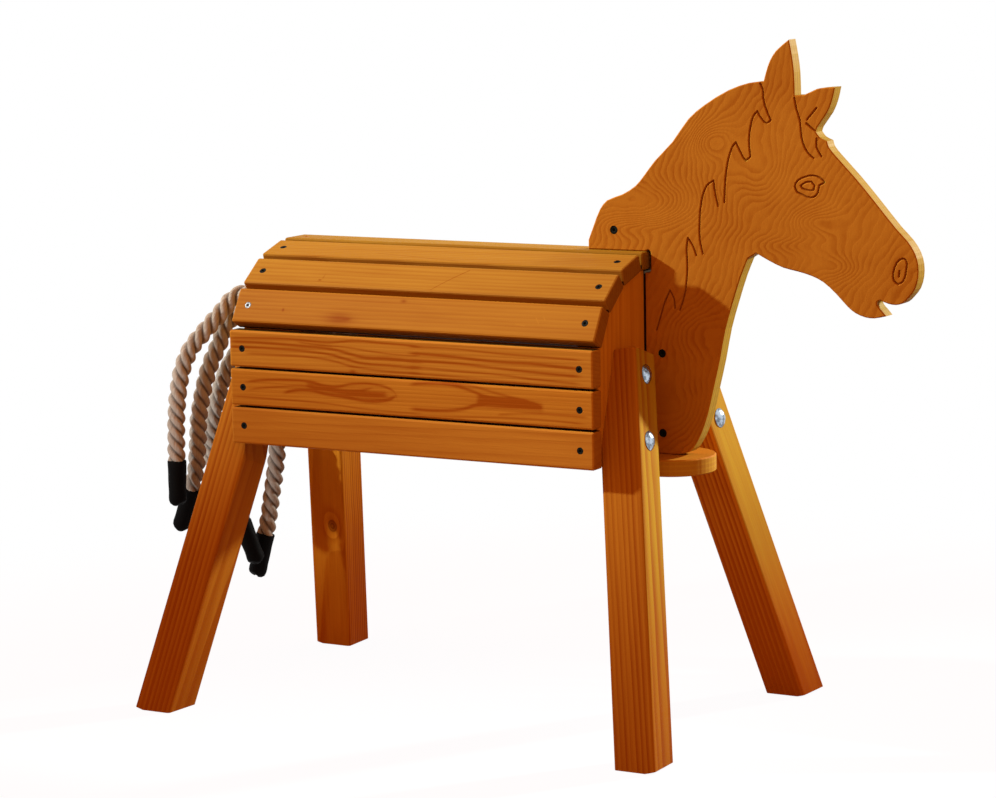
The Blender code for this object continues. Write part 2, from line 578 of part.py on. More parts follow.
def carve(points, face, side):
    """A closed V-shaped cutter along points on one face of the board; side is -1 or 1, for which face."""
    reach = GROOVE_WIDTH / 2 * (1 + GROOVE_LEAD / GROOVE_DEPTH)
    top = face + side * GROOVE_LEAD
    deep = face - side * GROOVE_DEPTH
    bm = bmesh.new()
    spine = [bm.verts.new((p.x, deep, p.y)) for p in points]
    ahead = [(q - p).normalized() for p, q in zip(points, points[1:])]
    heading = [ahead[0]] + [(a + b).normalized() for a, b in zip(ahead, ahead[1:])] + [ahead[-1]]

    def rim(point, direction, angle):
        turned_by = Matrix.Rotation(math.radians(angle), 2) @ direction
        return bm.verts.new((point.x + reach * turned_by.x, top, point.y + reach * turned_by.y))

    left = [rim(p, d, 90) for p, d in zip(points, heading)]
    right = [rim(p, d, -90) for p, d in zip(points, heading)]
    tip = [rim(points[-1], heading[-1], angle) for angle in (45, 0, -45)]
    tail = [rim(points[0], heading[0], angle) for angle in (-135, 180, 135)]
    for k in range(len(points) - 1):
        bm.faces.new((left[k], left[k + 1], right[k + 1], right[k]))
        bm.faces.new((left[k], spine[k], spine[k + 1], left[k + 1]))
        bm.faces.new((right[k + 1], spine[k + 1], spine[k], right[k]))
    for centre, fan in ((spine[-1], [left[-1], *tip, right[-1]]), (spine[0], [right[0], *tail, left[0]])):
        bm.faces.new(fan)
        for a, b in zip(fan, fan[1:]):
            bm.faces.new((a, b, centre))
    return bm


def make_head_board(horse, look):
    half = BOARD_THICK / 2
    outline = [(p.x, p.y) for p in board_outline()]
    bm = extruded(outline, -half, half, ((1, 0, 0), (0, 0, 1), (0, 1, 0)))
    round_edges(bm, BOARD_ROUND, 1, level_edges(bm, "y"))
    board = place("head_board", mesh_from(bm, "head_board", 30.0), horse, look)
    for side in (-1, 1):
        for name, points in CARVED.items():
            mesh = mesh_from(carve(smooth(on_board(points)), side * half, side), name)
            subtract(board, place(f"{name}_{side}", mesh, horse))
    return board


# Screws, and the pieces that carry the head board

def make_screw(name, entry, outward, length, pieces, horse, look):
    """A flat-head screw through the pieces: the first gets the head's countersink, all get a clear hole."""
    shoulder = SCREW_SUNK + SCREW_HEAD_HEIGHT
    rim = SCREW_SUNK + SCREW_HEAD_RIM
    profile = [(0.0, -length), (SCREW_TIP_RADIUS, -length), (SCREW_RADIUS, SCREW_POINT - length)]
    profile += [(SCREW_RADIUS, -shoulder), (SCREW_HEAD_RADIUS, -rim)]
    profile += [(SCREW_HEAD_RADIUS, -SCREW_SUNK), (0.0, -SCREW_SUNK)]
    place(name, mesh_from(turned(profile, 16), name), horse, look, along(outward, entry))
    hole = SCREW_RADIUS + SCREW_PLAY
    wide = SCREW_HEAD_RADIUS + SCREW_PLAY
    bottom = -length - SCREW_PLAY
    bore = [(0.0, bottom), (hole, bottom), (hole, -shoulder - SCREW_PLAY)]
    bore += [(wide, -rim - SCREW_PLAY), (wide, PAST), (0.0, PAST)]
    for piece in pieces:
        mesh = mesh_from(turned(bore, 16), "bore")
        subtract(piece, place(f"bore_{name}_{piece.name}", mesh, horse, matrix=along(outward, entry)))


def make_shelf(horse, look):
    """The plywood shelf under the neck, with a half-round front."""
    rear = BULKHEAD_FACE - BULKHEAD_THICK
    centre = BULKHEAD_FACE + SHELF_REACH - SHELF_HALF_WIDTH
    outline = [(rear, -SHELF_HALF_WIDTH)]
    for k in range(25):
        angle = math.radians(-90 + 7.5 * k)
        outline.append((centre + SHELF_HALF_WIDTH * math.cos(angle), SHELF_HALF_WIDTH * math.sin(angle)))
    outline.append((rear, SHELF_HALF_WIDTH))
    bm = extruded(outline, SHELF_TOP - SHELF_THICK, SHELF_TOP, ((1, 0, 0), (0, 1, 0), (0, 0, 1)))
    round_edges(bm, SHELF_ROUND, 1, level_edges(bm, "z"))
    return place("neck_shelf", mesh_from(bm, "neck_shelf"), horse, look)


def make_block(name, low, high, horse, look):
    bm = box_bm(low, high)
    round_edges(bm, TIMBER_ROUND, 1)
    return place(name, mesh_from(bm, name), horse, look)


def make_neck_mount(board, bulkhead, horse, timber, plywood, steel):
    """Shelf, batten and cleat round the head board, each with its screws."""
    beside = BOARD_THICK / 2 + FIT
    face = BULKHEAD_FACE + FIT
    crest = bpy.data.objects["slat_crest"]
    shelf = make_shelf(horse, plywood)
    batten_top = BODY_BOTTOM + NECK_SCREW_HEIGHTS[0][1] + BATTEN_ABOVE
    batten_base = BODY_BOTTOM + NECK_SCREW_HEIGHTS[1][1] - BATTEN_BELOW
    batten_front = BULKHEAD_FACE + NECK_SCREW_SETBACK + BATTEN_AHEAD
    corner = (batten_front, beside + BATTEN_THICK, batten_top)
    batten = make_block("neck_batten", (face, beside, batten_base), corner, horse, timber)
    front = SLAT_LENGTH / 2 - CLEAT_SETBACK
    cleat_top = CREST_TOP + CREST_SCREW_HEIGHT + CLEAT_ABOVE
    corner = (front, beside + CLEAT_THICK, cleat_top)
    cleat = make_block("crest_cleat", (front - CLEAT_LENGTH, beside, CREST_TOP + FIT), corner, horse, timber)

    near = -BOARD_THICK / 2
    right = Vector((0.0, -1.0, 0.0))
    for label, height in NECK_SCREW_HEIGHTS:
        entry = Vector((BULKHEAD_FACE + NECK_SCREW_SETBACK, near, BODY_BOTTOM + height))
        make_screw("neck_screw_" + label, entry, right, NECK_SCREW_LENGTH, (board, batten), horse, steel)
    entry = Vector((front - CLEAT_LENGTH + CREST_SCREW_REAR, near, CREST_TOP + CREST_SCREW_HEIGHT))
    make_screw("neck_screw_crest", entry, right, NECK_SCREW_LENGTH, (board, cleat), horse, steel)
    entry = Vector((front - CLEAT_SCREW_FRONT, SLAT_WIDTH / 2 - CLEAT_SCREW_EDGE, cleat_top))
    up = Vector((0.0, 0.0, 1.0))
    make_screw("cleat_screw", entry, up, CLEAT_SCREW_LENGTH, (cleat, crest), horse, steel)
    inside = BULKHEAD_FACE - BULKHEAD_THICK
    back = Vector((-1.0, 0.0, 0.0))
    places = (("upper", batten_top - BATTEN_SCREW_INSET), ("lower", batten_base + BATTEN_SCREW_INSET))
    for label, height in places:
        entry = Vector((inside, beside + BATTEN_THICK / 2, height))
        name = "batten_screw_" + label
        make_screw(name, entry, back, BATTEN_SCREW_LENGTH, (bulkhead, batten), horse, steel)
    below = SHELF_TOP - SHELF_THICK
    down = -up
    for label, y in (("right", -SHELF_SCREW_SPREAD), ("left", SHELF_SCREW_SPREAD)):
        entry = Vector((BULKHEAD_FACE - BULKHEAD_THICK / 2, y, below))
        make_screw("shelf_screw_" + label, entry, down, SHELF_SCREW_LENGTH, (shelf, bulkhead), horse, steel)
    entry = Vector((BULKHEAD_FACE + SHELF_SCREW_FRONT, 0.0, below))
    make_screw("shelf_screw_front", entry, down, SHELF_SCREW_LENGTH, (shelf, board), horse, steel)


# Rope tail

# Each rope's points, measured from its hole's mouth in the bulkhead's rear face. The end cap starts at
# the last point but one and points to the last.
TAIL_ROUTES = {
    "right_upper": [(-0.0400, -0.0090, 0.0010), (-0.0711, -0.0150, -0.0010), (-0.0925, -0.0330, -0.0288)]
    + [(-0.1079, -0.0450, -0.0499), (-0.1218, -0.0540, -0.0700), (-0.1303, -0.0620, -0.0951)]
    + [(-0.1344, -0.0680, -0.1271), (-0.1360, -0.0710, -0.1542), (-0.1362, -0.0730, -0.1812)]
    + [(-0.1360, -0.0740, -0.2215), (-0.1355, -0.0740, -0.2769)],
    "left_upper": [(-0.0320, -0.0080, -0.0010), (-0.0660, -0.0310, -0.0110), (-0.0922, -0.0550, -0.0370)]
    + [(-0.1045, -0.0650, -0.0700), (-0.1156, -0.0720, -0.0996), (-0.1234, -0.0770, -0.1321)]
    + [(-0.1288, -0.0800, -0.1640), (-0.1315, -0.0810, -0.2009), (-0.1360, -0.0820, -0.2424)]
    + [(-0.1435, -0.0830, -0.2665), (-0.1600, -0.0860, -0.3240)],
    "right_lower": [(-0.0370, 0.0020, -0.0020), (-0.0740, 0.0060, -0.0190), (-0.1000, 0.0120, -0.0410)]
    + [(-0.1160, 0.0140, -0.0660), (-0.1260, 0.0130, -0.0940), (-0.1345, 0.0120, -0.1240)]
    + [(-0.1395, 0.0110, -0.1550), (-0.1350, 0.0100, -0.1880), (-0.1180, 0.0100, -0.2200)]
    + [(-0.1000, 0.0090, -0.2450), (-0.0900, 0.0090, -0.2640), (-0.0840, 0.0070, -0.3140)],
    "left_lower": [(-0.0300, 0.0000, -0.0080), (-0.0490, 0.0000, -0.0290), (-0.0570, 0.0000, -0.0600)]
    + [(-0.0580, 0.0000, -0.1100), (-0.0585, 0.0000, -0.1638), (-0.0640, 0.0000, -0.2005)]
    + [(-0.0690, -0.0010, -0.2285), (-0.0740, -0.0030, -0.2625), (-0.0790, -0.0050, -0.2860)]
    + [(-0.0920, -0.0090, -0.3390)],
}


def tail_hole(name):
    """Where a rope's hole is in the rear bulkhead, as (y, z)."""
    side = -1 if name.startswith("right") else 1
    drop = 0.0 if name.endswith("upper") else 2 * KNOT_RADIUS + KNOT_GAP
    return side * (KNOT_RADIUS + KNOT_GAP / 2), BODY_BOTTOM + TAIL_HIGH - drop


def make_tail(bulkhead, horse, rope_look, cap_look):
    """Four ropes, each through its own hole, knotted inside and capped at the loose end."""
    inside = -(BULKHEAD_FACE - BULKHEAD_THICK)
    for name, route in TAIL_ROUTES.items():
        y, z = tail_hole(name)
        mouth = Vector((-BULKHEAD_FACE, y, z))
        depth = BULKHEAD_THICK + PAST
        drill(bulkhead, ROPE_RADIUS + ROPE_PLAY, mouth, (-1, 0, 0), depth, horse, steps=20)
        knot = [(0.0, 0.0), (KNOT_RADIUS - KNOT_ROUND, 0.0), (KNOT_RADIUS, KNOT_ROUND)]
        knot += [(KNOT_RADIUS, KNOT_LENGTH - KNOT_ROUND), (KNOT_RADIUS - KNOT_ROUND, KNOT_LENGTH)]
        knot += [(0.0, KNOT_LENGTH)]
        at = along((1, 0, 0), (inside + FIT, y, z))
        place("tail_knot_" + name, mesh_from(turned(knot, 12), "knot"), horse, rope_look, at)
        start = Vector((inside, y, z))
        lead = mouth - Vector((ROPE_LEAD, 0.0, 0.0))
        curve = smooth([(start + mouth) / 2, lead, *(mouth + Vector(point) for point in route)])
        path = [start, *curve[:-2]]
        make_rope("tail_rope_" + name, path, horse, rope_look)
        radius = ROPE_RADIUS + CAP_WALL
        cap = [(0.0, FIT), (radius, FIT), (radius, CAP_LENGTH - CAP_ROUND)]
        for angle in (math.radians(45), math.radians(90)):
            inset = CAP_ROUND * (1 - math.cos(angle))
            cap.append((radius - inset, CAP_LENGTH - CAP_ROUND + CAP_ROUND * math.sin(angle)))
        cap.append((0.0, CAP_LENGTH))
        at = along(path[-1] - path[-2], path[-1])
        place("tail_cap_" + name, mesh_from(turned(cap, 16), "cap"), horse, cap_look, at)


def make_rope(name, path, horse, look):
    curve = bpy.data.curves.new(name, "CURVE")
    curve.dimensions = "3D"
    curve.bevel_depth = ROPE_RADIUS
    curve.bevel_resolution = 3
    curve.use_fill_caps = True
    spline = curve.splines.new("POLY")
    spline.points.add(len(path) - 1)
    for point, place_on_path in zip(spline.points, path):
        point.co = (*place_on_path, 1.0)
    made = bpy.data.objects.new(name, curve)
    curve.materials.append(look)
    bpy.context.scene.collection.objects.link(made)
    made.parent = horse


def main():
    clear_scene()
    horse = bpy.data.objects.new("horse", None)
    bpy.context.scene.collection.objects.link(horse)
    horse.location = (BODY_X, 0.0, 0.0)
    pine = material("pine", PINE, 0.45)
    shaded = material("pine_shaded", PINE_SHADED, 0.5)
    plywood = material("plywood", PLYWOOD, 0.45)
    zinc = material("zinc", ZINC, 0.3, 1.0)
    dark_steel = material("dark_steel", DARK_STEEL, 0.45, 0.6)
    rope = material("rope", ROPE_COLOUR, 0.9)
    black_cap = material("black_cap", BLACK_CAP, 0.6)
    make_slats(horse, pine)
    bulkheads = {end: make_bulkhead("bulkhead_" + label, end, horse, shaded) for label, end in ENDS}
    for end_label, end in ENDS:
        for side_label, side in SIDES:
            leg = make_leg(f"leg_{end_label}_{side_label}", end, side, horse, pine)
            for label, height in BOLT_HEIGHTS:
                make_bolt(leg, bulkheads[end], label, height, end, side, horse, zinc)
    board = make_head_board(horse, plywood)
    make_neck_mount(board, bulkheads[1], horse, shaded, plywood, dark_steel)
    make_tail(bulkheads[-1], horse, rope, black_cap)


main()
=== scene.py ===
import math
import random

import bmesh
import bpy
from mathutils import Matrix, Vector


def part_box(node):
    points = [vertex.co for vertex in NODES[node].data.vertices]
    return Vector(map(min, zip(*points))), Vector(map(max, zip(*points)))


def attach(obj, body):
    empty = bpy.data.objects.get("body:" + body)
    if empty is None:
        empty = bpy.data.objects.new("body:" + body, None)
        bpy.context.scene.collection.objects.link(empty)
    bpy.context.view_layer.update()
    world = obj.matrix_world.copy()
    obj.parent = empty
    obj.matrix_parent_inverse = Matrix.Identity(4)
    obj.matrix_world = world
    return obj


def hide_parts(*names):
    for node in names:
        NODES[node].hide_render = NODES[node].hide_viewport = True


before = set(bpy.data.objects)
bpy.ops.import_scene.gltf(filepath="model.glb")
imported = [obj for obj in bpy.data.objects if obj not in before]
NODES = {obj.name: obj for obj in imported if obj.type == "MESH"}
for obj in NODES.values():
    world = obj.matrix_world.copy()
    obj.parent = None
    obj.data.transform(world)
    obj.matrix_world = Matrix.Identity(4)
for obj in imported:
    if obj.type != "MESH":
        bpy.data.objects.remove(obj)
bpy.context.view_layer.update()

# Places in metres and slopes that the part's source also uses
BODY_X = -0.1269  # the body's middle
BULKHEAD_FACE = 0.258  # from the body's middle to a bulkhead's outer face
BULKHEAD_THICK = 0.028
SPLAY = math.radians(17.5)
FRONT_RAKE = math.radians(11.0)
REAR_RAKE = math.radians(9.75)
SCREW_REACH = 0.245  # from the body's middle to a slat's screws
BOARD_HALF = 0.0105

UP = Vector((0.0, 0.0, 1.0))


# Camera

CAMERA_PLACE = (2.0375, -3.6959, 1.0399)
CAMERA_YAW = math.radians(29.88)
CAMERA_PITCH = math.radians(8.58)  # downwards
CAMERA_ROLL = math.radians(-1.02)
LENS = 121.66  # for a 36 mm wide frame


def make_camera():
    data = bpy.data.cameras.new("camera")
    data.sensor_width = 36.0
    data.lens = LENS
    data.clip_end = 100.0
    camera = bpy.data.objects.new("camera", data)
    bpy.context.scene.collection.objects.link(camera)
    ahead = Vector((-math.sin(CAMERA_YAW) * math.cos(CAMERA_PITCH),
                    math.cos(CAMERA_YAW) * math.cos(CAMERA_PITCH),
                    -math.sin(CAMERA_PITCH)))
    level = Vector((math.cos(CAMERA_YAW), math.sin(CAMERA_YAW), 0.0))
    above = level.cross(ahead)
    right = math.cos(CAMERA_ROLL) * level + math.sin(CAMERA_ROLL) * above
    top = -math.sin(CAMERA_ROLL) * level + math.cos(CAMERA_ROLL) * above
    turn = Matrix((right, top, -ahead)).transposed().to_4x4()
    camera.matrix_world = Matrix.Translation(CAMERA_PLACE) @ turn
    bpy.context.scene.camera = camera


# Shader nodes

class Value:
    """A number in a shader, with arithmetic."""

    def __init__(self, nodes, socket):
        self.nodes = nodes
        self.socket = socket

    def __add__(self, other):
        return self.nodes.math("ADD", self, other)

    def __sub__(self, other):
        return self.nodes.math("SUBTRACT", self, other)

    def __mul__(self, other):
        return self.nodes.math("MULTIPLY", self, other)

    __radd__ = __add__


class Nodes:
    """One material and short ways to add nodes to it."""

    def __init__(self, name):
        self.material = bpy.data.materials.new(name)
        self.material.use_nodes = True
        self.tree = self.material.node_tree
        self.shader = self.tree.nodes["Principled BSDF"]

    def put(self, socket, value):
        """Links or sets one socket."""
        if isinstance(value, Value):
            value = value.socket
        if isinstance(value, bpy.types.NodeSocket):
            self.tree.links.new(value, socket)
        elif socket.type == "RGBA" and len(value) == 3:
            socket.default_value = (*value, 1.0)
        else:
            socket.default_value = value

    def node(self, kind, values=(), **settings):
        made = self.tree.nodes.new("ShaderNode" + kind)
        for key, value in settings.items():
            setattr(made, key, value)
        for key, value in dict(values).items():
            self.put(made.inputs[key], value)
        return made

    def math(self, operation, *values):
        made = self.node("Math", dict(enumerate(values)), operation=operation)
        return Value(self, made.outputs[0])

    def vector_math(self, operation, *values):
        made = self.node("VectorMath", dict(enumerate(values)), operation=operation)
        return made.outputs["Value" if operation == "DOT_PRODUCT" else "Vector"]

    def local(self, turn, origin):
        """Coordinates in a piece's own frame, whose axes are the matrix's columns."""
        inverse = turn.transposed()
        values = {"Vector": self.node("TexCoord").outputs["Object"],
                  "Location": -(inverse @ origin), "Rotation": inverse.to_euler()}
        return self.node("Mapping", values).outputs[0]

    def split(self, vector):
        made = self.node("SeparateXYZ", {0: vector})
        return [Value(self, socket) for socket in made.outputs]

    def join(self, x, y, z):
        return self.node("CombineXYZ", {0: x, 1: y, 2: z}).outputs[0]

    def noise(self, place, scale, seed=0.0, detail=2.0, rough=0.5, twist=0.0):
        """Smooth noise about 0.5. The scale is features per metre along each axis."""
        shift = (seed * 7.31 + 1.7, seed * 3.17 - 4.2, seed * 5.93 + 9.1)
        moved = self.vector_math("MULTIPLY_ADD", place, scale, shift)
        values = {"Vector": moved, "Scale": 1.0, "Detail": detail, "Roughness": rough, "Distortion": twist}
        return Value(self, self.node("TexNoise", values).outputs[0])

    def step(self, value, start, end, low=0.0, high=1.0):
        """A smooth step from low to high as the value goes from start to end."""
        values = {"Value": value, "From Min": start, "From Max": end, "To Min": low, "To Max": high}
        made = self.node("MapRange", values, interpolation_type="SMOOTHSTEP")
        return Value(self, made.outputs[0])

    def hill(self, u, v, at, size):
        """A smooth hill of height 1 at a point of the u, v plane, with its half-widths along both."""
        across = (u - at[0]) * (1.0 / size[0])
        along = (v - at[1]) * (1.0 / size[1])
        return self.math("POWER", math.e, (across * across + along * along) * -1.0)

    def mix(self, share, a, b):
        """Colour a where share is 0 and b where it is 1."""
        made = self.node("Mix", data_type="RGBA", clamp_factor=True)
        for index, value in ((0, share), (6, a), (7, b)):
            self.put(made.inputs[index], value)
        return made.outputs[2]

    def bump(self, height, depth, strength=1.0):
        values = {"Height": height, "Distance": depth, "Strength": strength}
        return self.node("Bump", values).outputs[0]

    def finish(self, **inputs):
        """Sets or links the shader's inputs, named with _ for a space, and gives the material."""
        for name, value in inputs.items():
            self.put(self.shader.inputs[name.replace("_", " ")], value)
        return self.material


def paint(name, look):
    """Gives a node of the part its material."""
    node = NODES[name]
    node.data.materials.clear()
    node.data.materials.append(look)


# Timber

# Near black, painted as shade in the gaps between parts
PAINTED_SHADE = (0.00992, 0.00372, 0.00124)
# Painted light: the paler, yellower colour of a front leg's lit forward face
LIT_FRONT_PALE = (0.4712, 0.3162, 0.0186)
LIT_FRONT_DARK = (0.31, 0.093, 0.00248)
LIT_FRONT_FADE = (-0.26, 0.0, 0.15, 1.0)  # from one height to another over a leg's middle, and its share at both
FOOT_FADE = (-0.24, 0.14)  # over a leg's middle, where the painted shade at its foot starts to thin and where it ends
WOOD_SHINE = 0.026
WOOD_ROUGHNESS = 0.55
WOOD_RELIEF = 0.0004  # how far the late wood sinks and the fibres stand up


def timber(name, turn, origin, seed, pale, dark, pith, contrast, lean=(0.0, 0.0), spacing=0.005, wander=0.006,
           blotch=0.4, tint=(1.0, 1.0, 1.0), knots=(), spots=(), lines=(), foot=0.0, edge=None, forward=None,
           shut=None):
    """Sawn softwood. u runs along the piece, v across its face and w out of it, from its middle.

    The rings lie round a pith beside the piece, which leans so much per metre of u, and they part round the
    knots. Spots and lines darken the wood, and foot darkens its lower end as a painted shade. A side that
    looks forward takes a paler, yellower colour as a painted light. Painted shade covers what lies past
    edge's v and below its w, and the middle strip of half-width shut.
    """
    n = Nodes(name)
    place = n.local(turn, origin)
    u, v, w = n.split(place)
    across = v - pith[0] - u * lean[0]
    deep = w - pith[1] - u * lean[1]
    phase = n.math("SQRT", across * across + deep * deep)
    phase += (n.noise(place, (2.2, 13, 13), seed) - 0.5) * wander
    phase = phase * (1.0 / spacing)
    for at, size in knots:
        phase += n.hill(u, v, at, (size * 3.2, size * 1.7)) * (size / spacing * 1.3)
    phase += (n.noise(place, (9, 70, 70), seed + 3) - 0.5) * 0.25
    ring = n.math("FRACT", phase)
    late = n.step(ring, 0.15, 0.86) * n.step(ring, 0.90, 1.0, 1.0, 0.0)
    strength = n.noise(n.join(n.math("FLOOR", phase), seed, 0.0), (0.7, 1, 1), seed + 5, 0.0)
    late = late * n.step(strength, 0.2, 0.75, 0.35, 1.0)
    fibre = n.noise(place, (14, 600, 600), seed + 7, 2.0, 0.6)
    streak = n.noise(place, (4, 85, 85), seed + 9, 2.0, 0.6)
    cloud = n.noise(place, (5, 18, 18), seed + 11, 3.0, 0.55)
    tone = late * contrast + (fibre - 0.5) * 0.34 + (streak - 0.5) * 0.5 + (cloud - 0.5) * blotch + 0.22
    for at, size, amount in spots:
        tone += n.hill(u, v, at, size) * amount
    for points, width, amount in lines:
        tone += trace(n, u, v + (cloud - 0.5) * 0.002, points, width) * amount
    # Painted shade: darker towards the foot
    if foot:
        tone += n.step(u + (cloud - 0.5) * 0.10, *FOOT_FADE, foot, 0.0)
    pale = [part * share for part, share in zip(pale, tint)]
    dark = [part * share for part, share in zip(dark, tint)]
    colour = n.mix(tone, pale, dark)
    for at, size in knots:
        du = (u - at[0]) * 0.72
        dv = v - at[1]
        far = n.math("SQRT", du * du + dv * dv) * (1.0 / size) + (cloud - 0.5) * 0.25
        core = n.step(far, 0.70, 1.0, 1.0, 0.0) * n.step(n.math("FRACT", far * 2.2), 0.1, 0.8, 0.45, 0.85)
        colour = n.mix(core, colour, [part * 0.40 for part in dark])
    # End grain is darker and rougher
    normal = n.node("NewGeometry").outputs["Normal"]
    facing = n.vector_math("DOT_PRODUCT", normal, turn.col[0])
    end = n.step(n.math("ABSOLUTE", facing), 0.70, 0.95)
    colour = n.mix(end * 0.45, colour, [part * 0.5 for part in dark])
    # Painted light: the forward face takes a paler, yellower colour
    if forward:
        lit_front = n.step(n.vector_math("DOT_PRODUCT", normal, forward), 0.6, 0.9) * n.step(u, *LIT_FRONT_FADE)
        colour = n.mix(lit_front, colour, n.mix(tone, LIT_FRONT_PALE, LIT_FRONT_DARK))
    # Painted shade on the narrow sides, which face the gaps between slats
    if edge:
        deep = n.step(n.math("ABSOLUTE", v), edge[0] - 0.0006, edge[0] - 0.0002)
        deep = deep * n.step(w, edge[1] - 0.001, edge[1], 1.0, 0.0)
        colour = n.mix(deep * 0.9, colour, PAINTED_SHADE)
    # Painted shade on the middle strip, in the gap behind the head board
    if shut:
        near = n.step(n.math("ABSOLUTE", v), shut - 0.0003, shut + 0.0003, 1.0, 0.0)
        colour = n.mix(near * 0.95, colour, PAINTED_SHADE)
    relief = n.bump(late * -0.4 + fibre * 0.7, WOOD_RELIEF, 0.6)
    return n.finish(Base_Color=colour, Roughness=(fibre - 0.5) * 0.2 + end * 0.2 + WOOD_ROUGHNESS,
                    Normal=relief, Specular_IOR_Level=WOOD_SHINE)


TRACE_SPAN = 0.03  # how far from the middle line a drawn line may run


def trace(n, u, v, points, width):
    """1 on a smooth line through the points, which run forward, fading to 0 off it."""
    first, last = points[0][0], points[-1][0]
    line = n.tree.nodes.new("ShaderNodeFloatCurve")
    curve = line.mapping.curves[0]
    for _ in points[2:]:
        curve.points.new(0.5, 0.5)
    for knot, (at, height) in zip(curve.points, points):
        knot.location = ((at - first) / (last - first), 0.5 + height / (2 * TRACE_SPAN))
    line.mapping.update()
    along = (u - first) * (1.0 / (last - first))
    n.put(line.inputs["Value"], along)
    height = Value(n, line.outputs[0]) * (2 * TRACE_SPAN) - TRACE_SPAN
    off = (v - height) * (1.0 / width)
    off = n.math("POWER", math.e, off * off * -1.0)
    return off * n.step(along, -0.03, 0.05) * n.step(along, 0.95, 1.03, 1.0, 0.0)


def axes(u, v):
    """A rotation with u and v as its first two columns."""
    u, v = Vector(u).normalized(), Vector(v)
    w = u.cross(v).normalized()
    return Matrix((u, w.cross(u), w)).transposed()


def centre(node):
    """The middle of a node's box."""
    low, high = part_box(node)
    return (Vector(low) + Vector(high)) / 2


# Each slat's slope in degrees, from the crest down
SLOPES = {"a": 17.5, "b": 37.2, "c": 60.0, "d": 90.0, "e": 90.0, "f": 90.0}
SIDES = (("right", -1), ("left", 1))
ENDS = (("front", 1), ("rear", -1))


def slat_frames():
    """Each slat's name, middle and outward direction."""
    found = [("slat_crest", centre("slat_crest"), UP.copy())]
    for side, sign in SIDES:
        for letter, slope in SLOPES.items():
            slope = math.radians(slope)
            name = f"slat_{side}_{letter}"
            found.append((name, centre(name), Vector((0.0, sign * math.sin(slope), math.cos(slope)))))
    return found


SLAT_PALE = (0.4588, 0.2542, 0.03224)
SLAT_DARK = (0.2728, 0.0837, 0.00496)
SLAT_HALF = 0.0235
SLAT_HALF_THICK = 0.011
# How far out from a slat's middle its narrow sides are painted with shade, as in the gaps between slats
SHADE_ARCHED = -0.004
SHADE_UPRIGHT = 0.0085
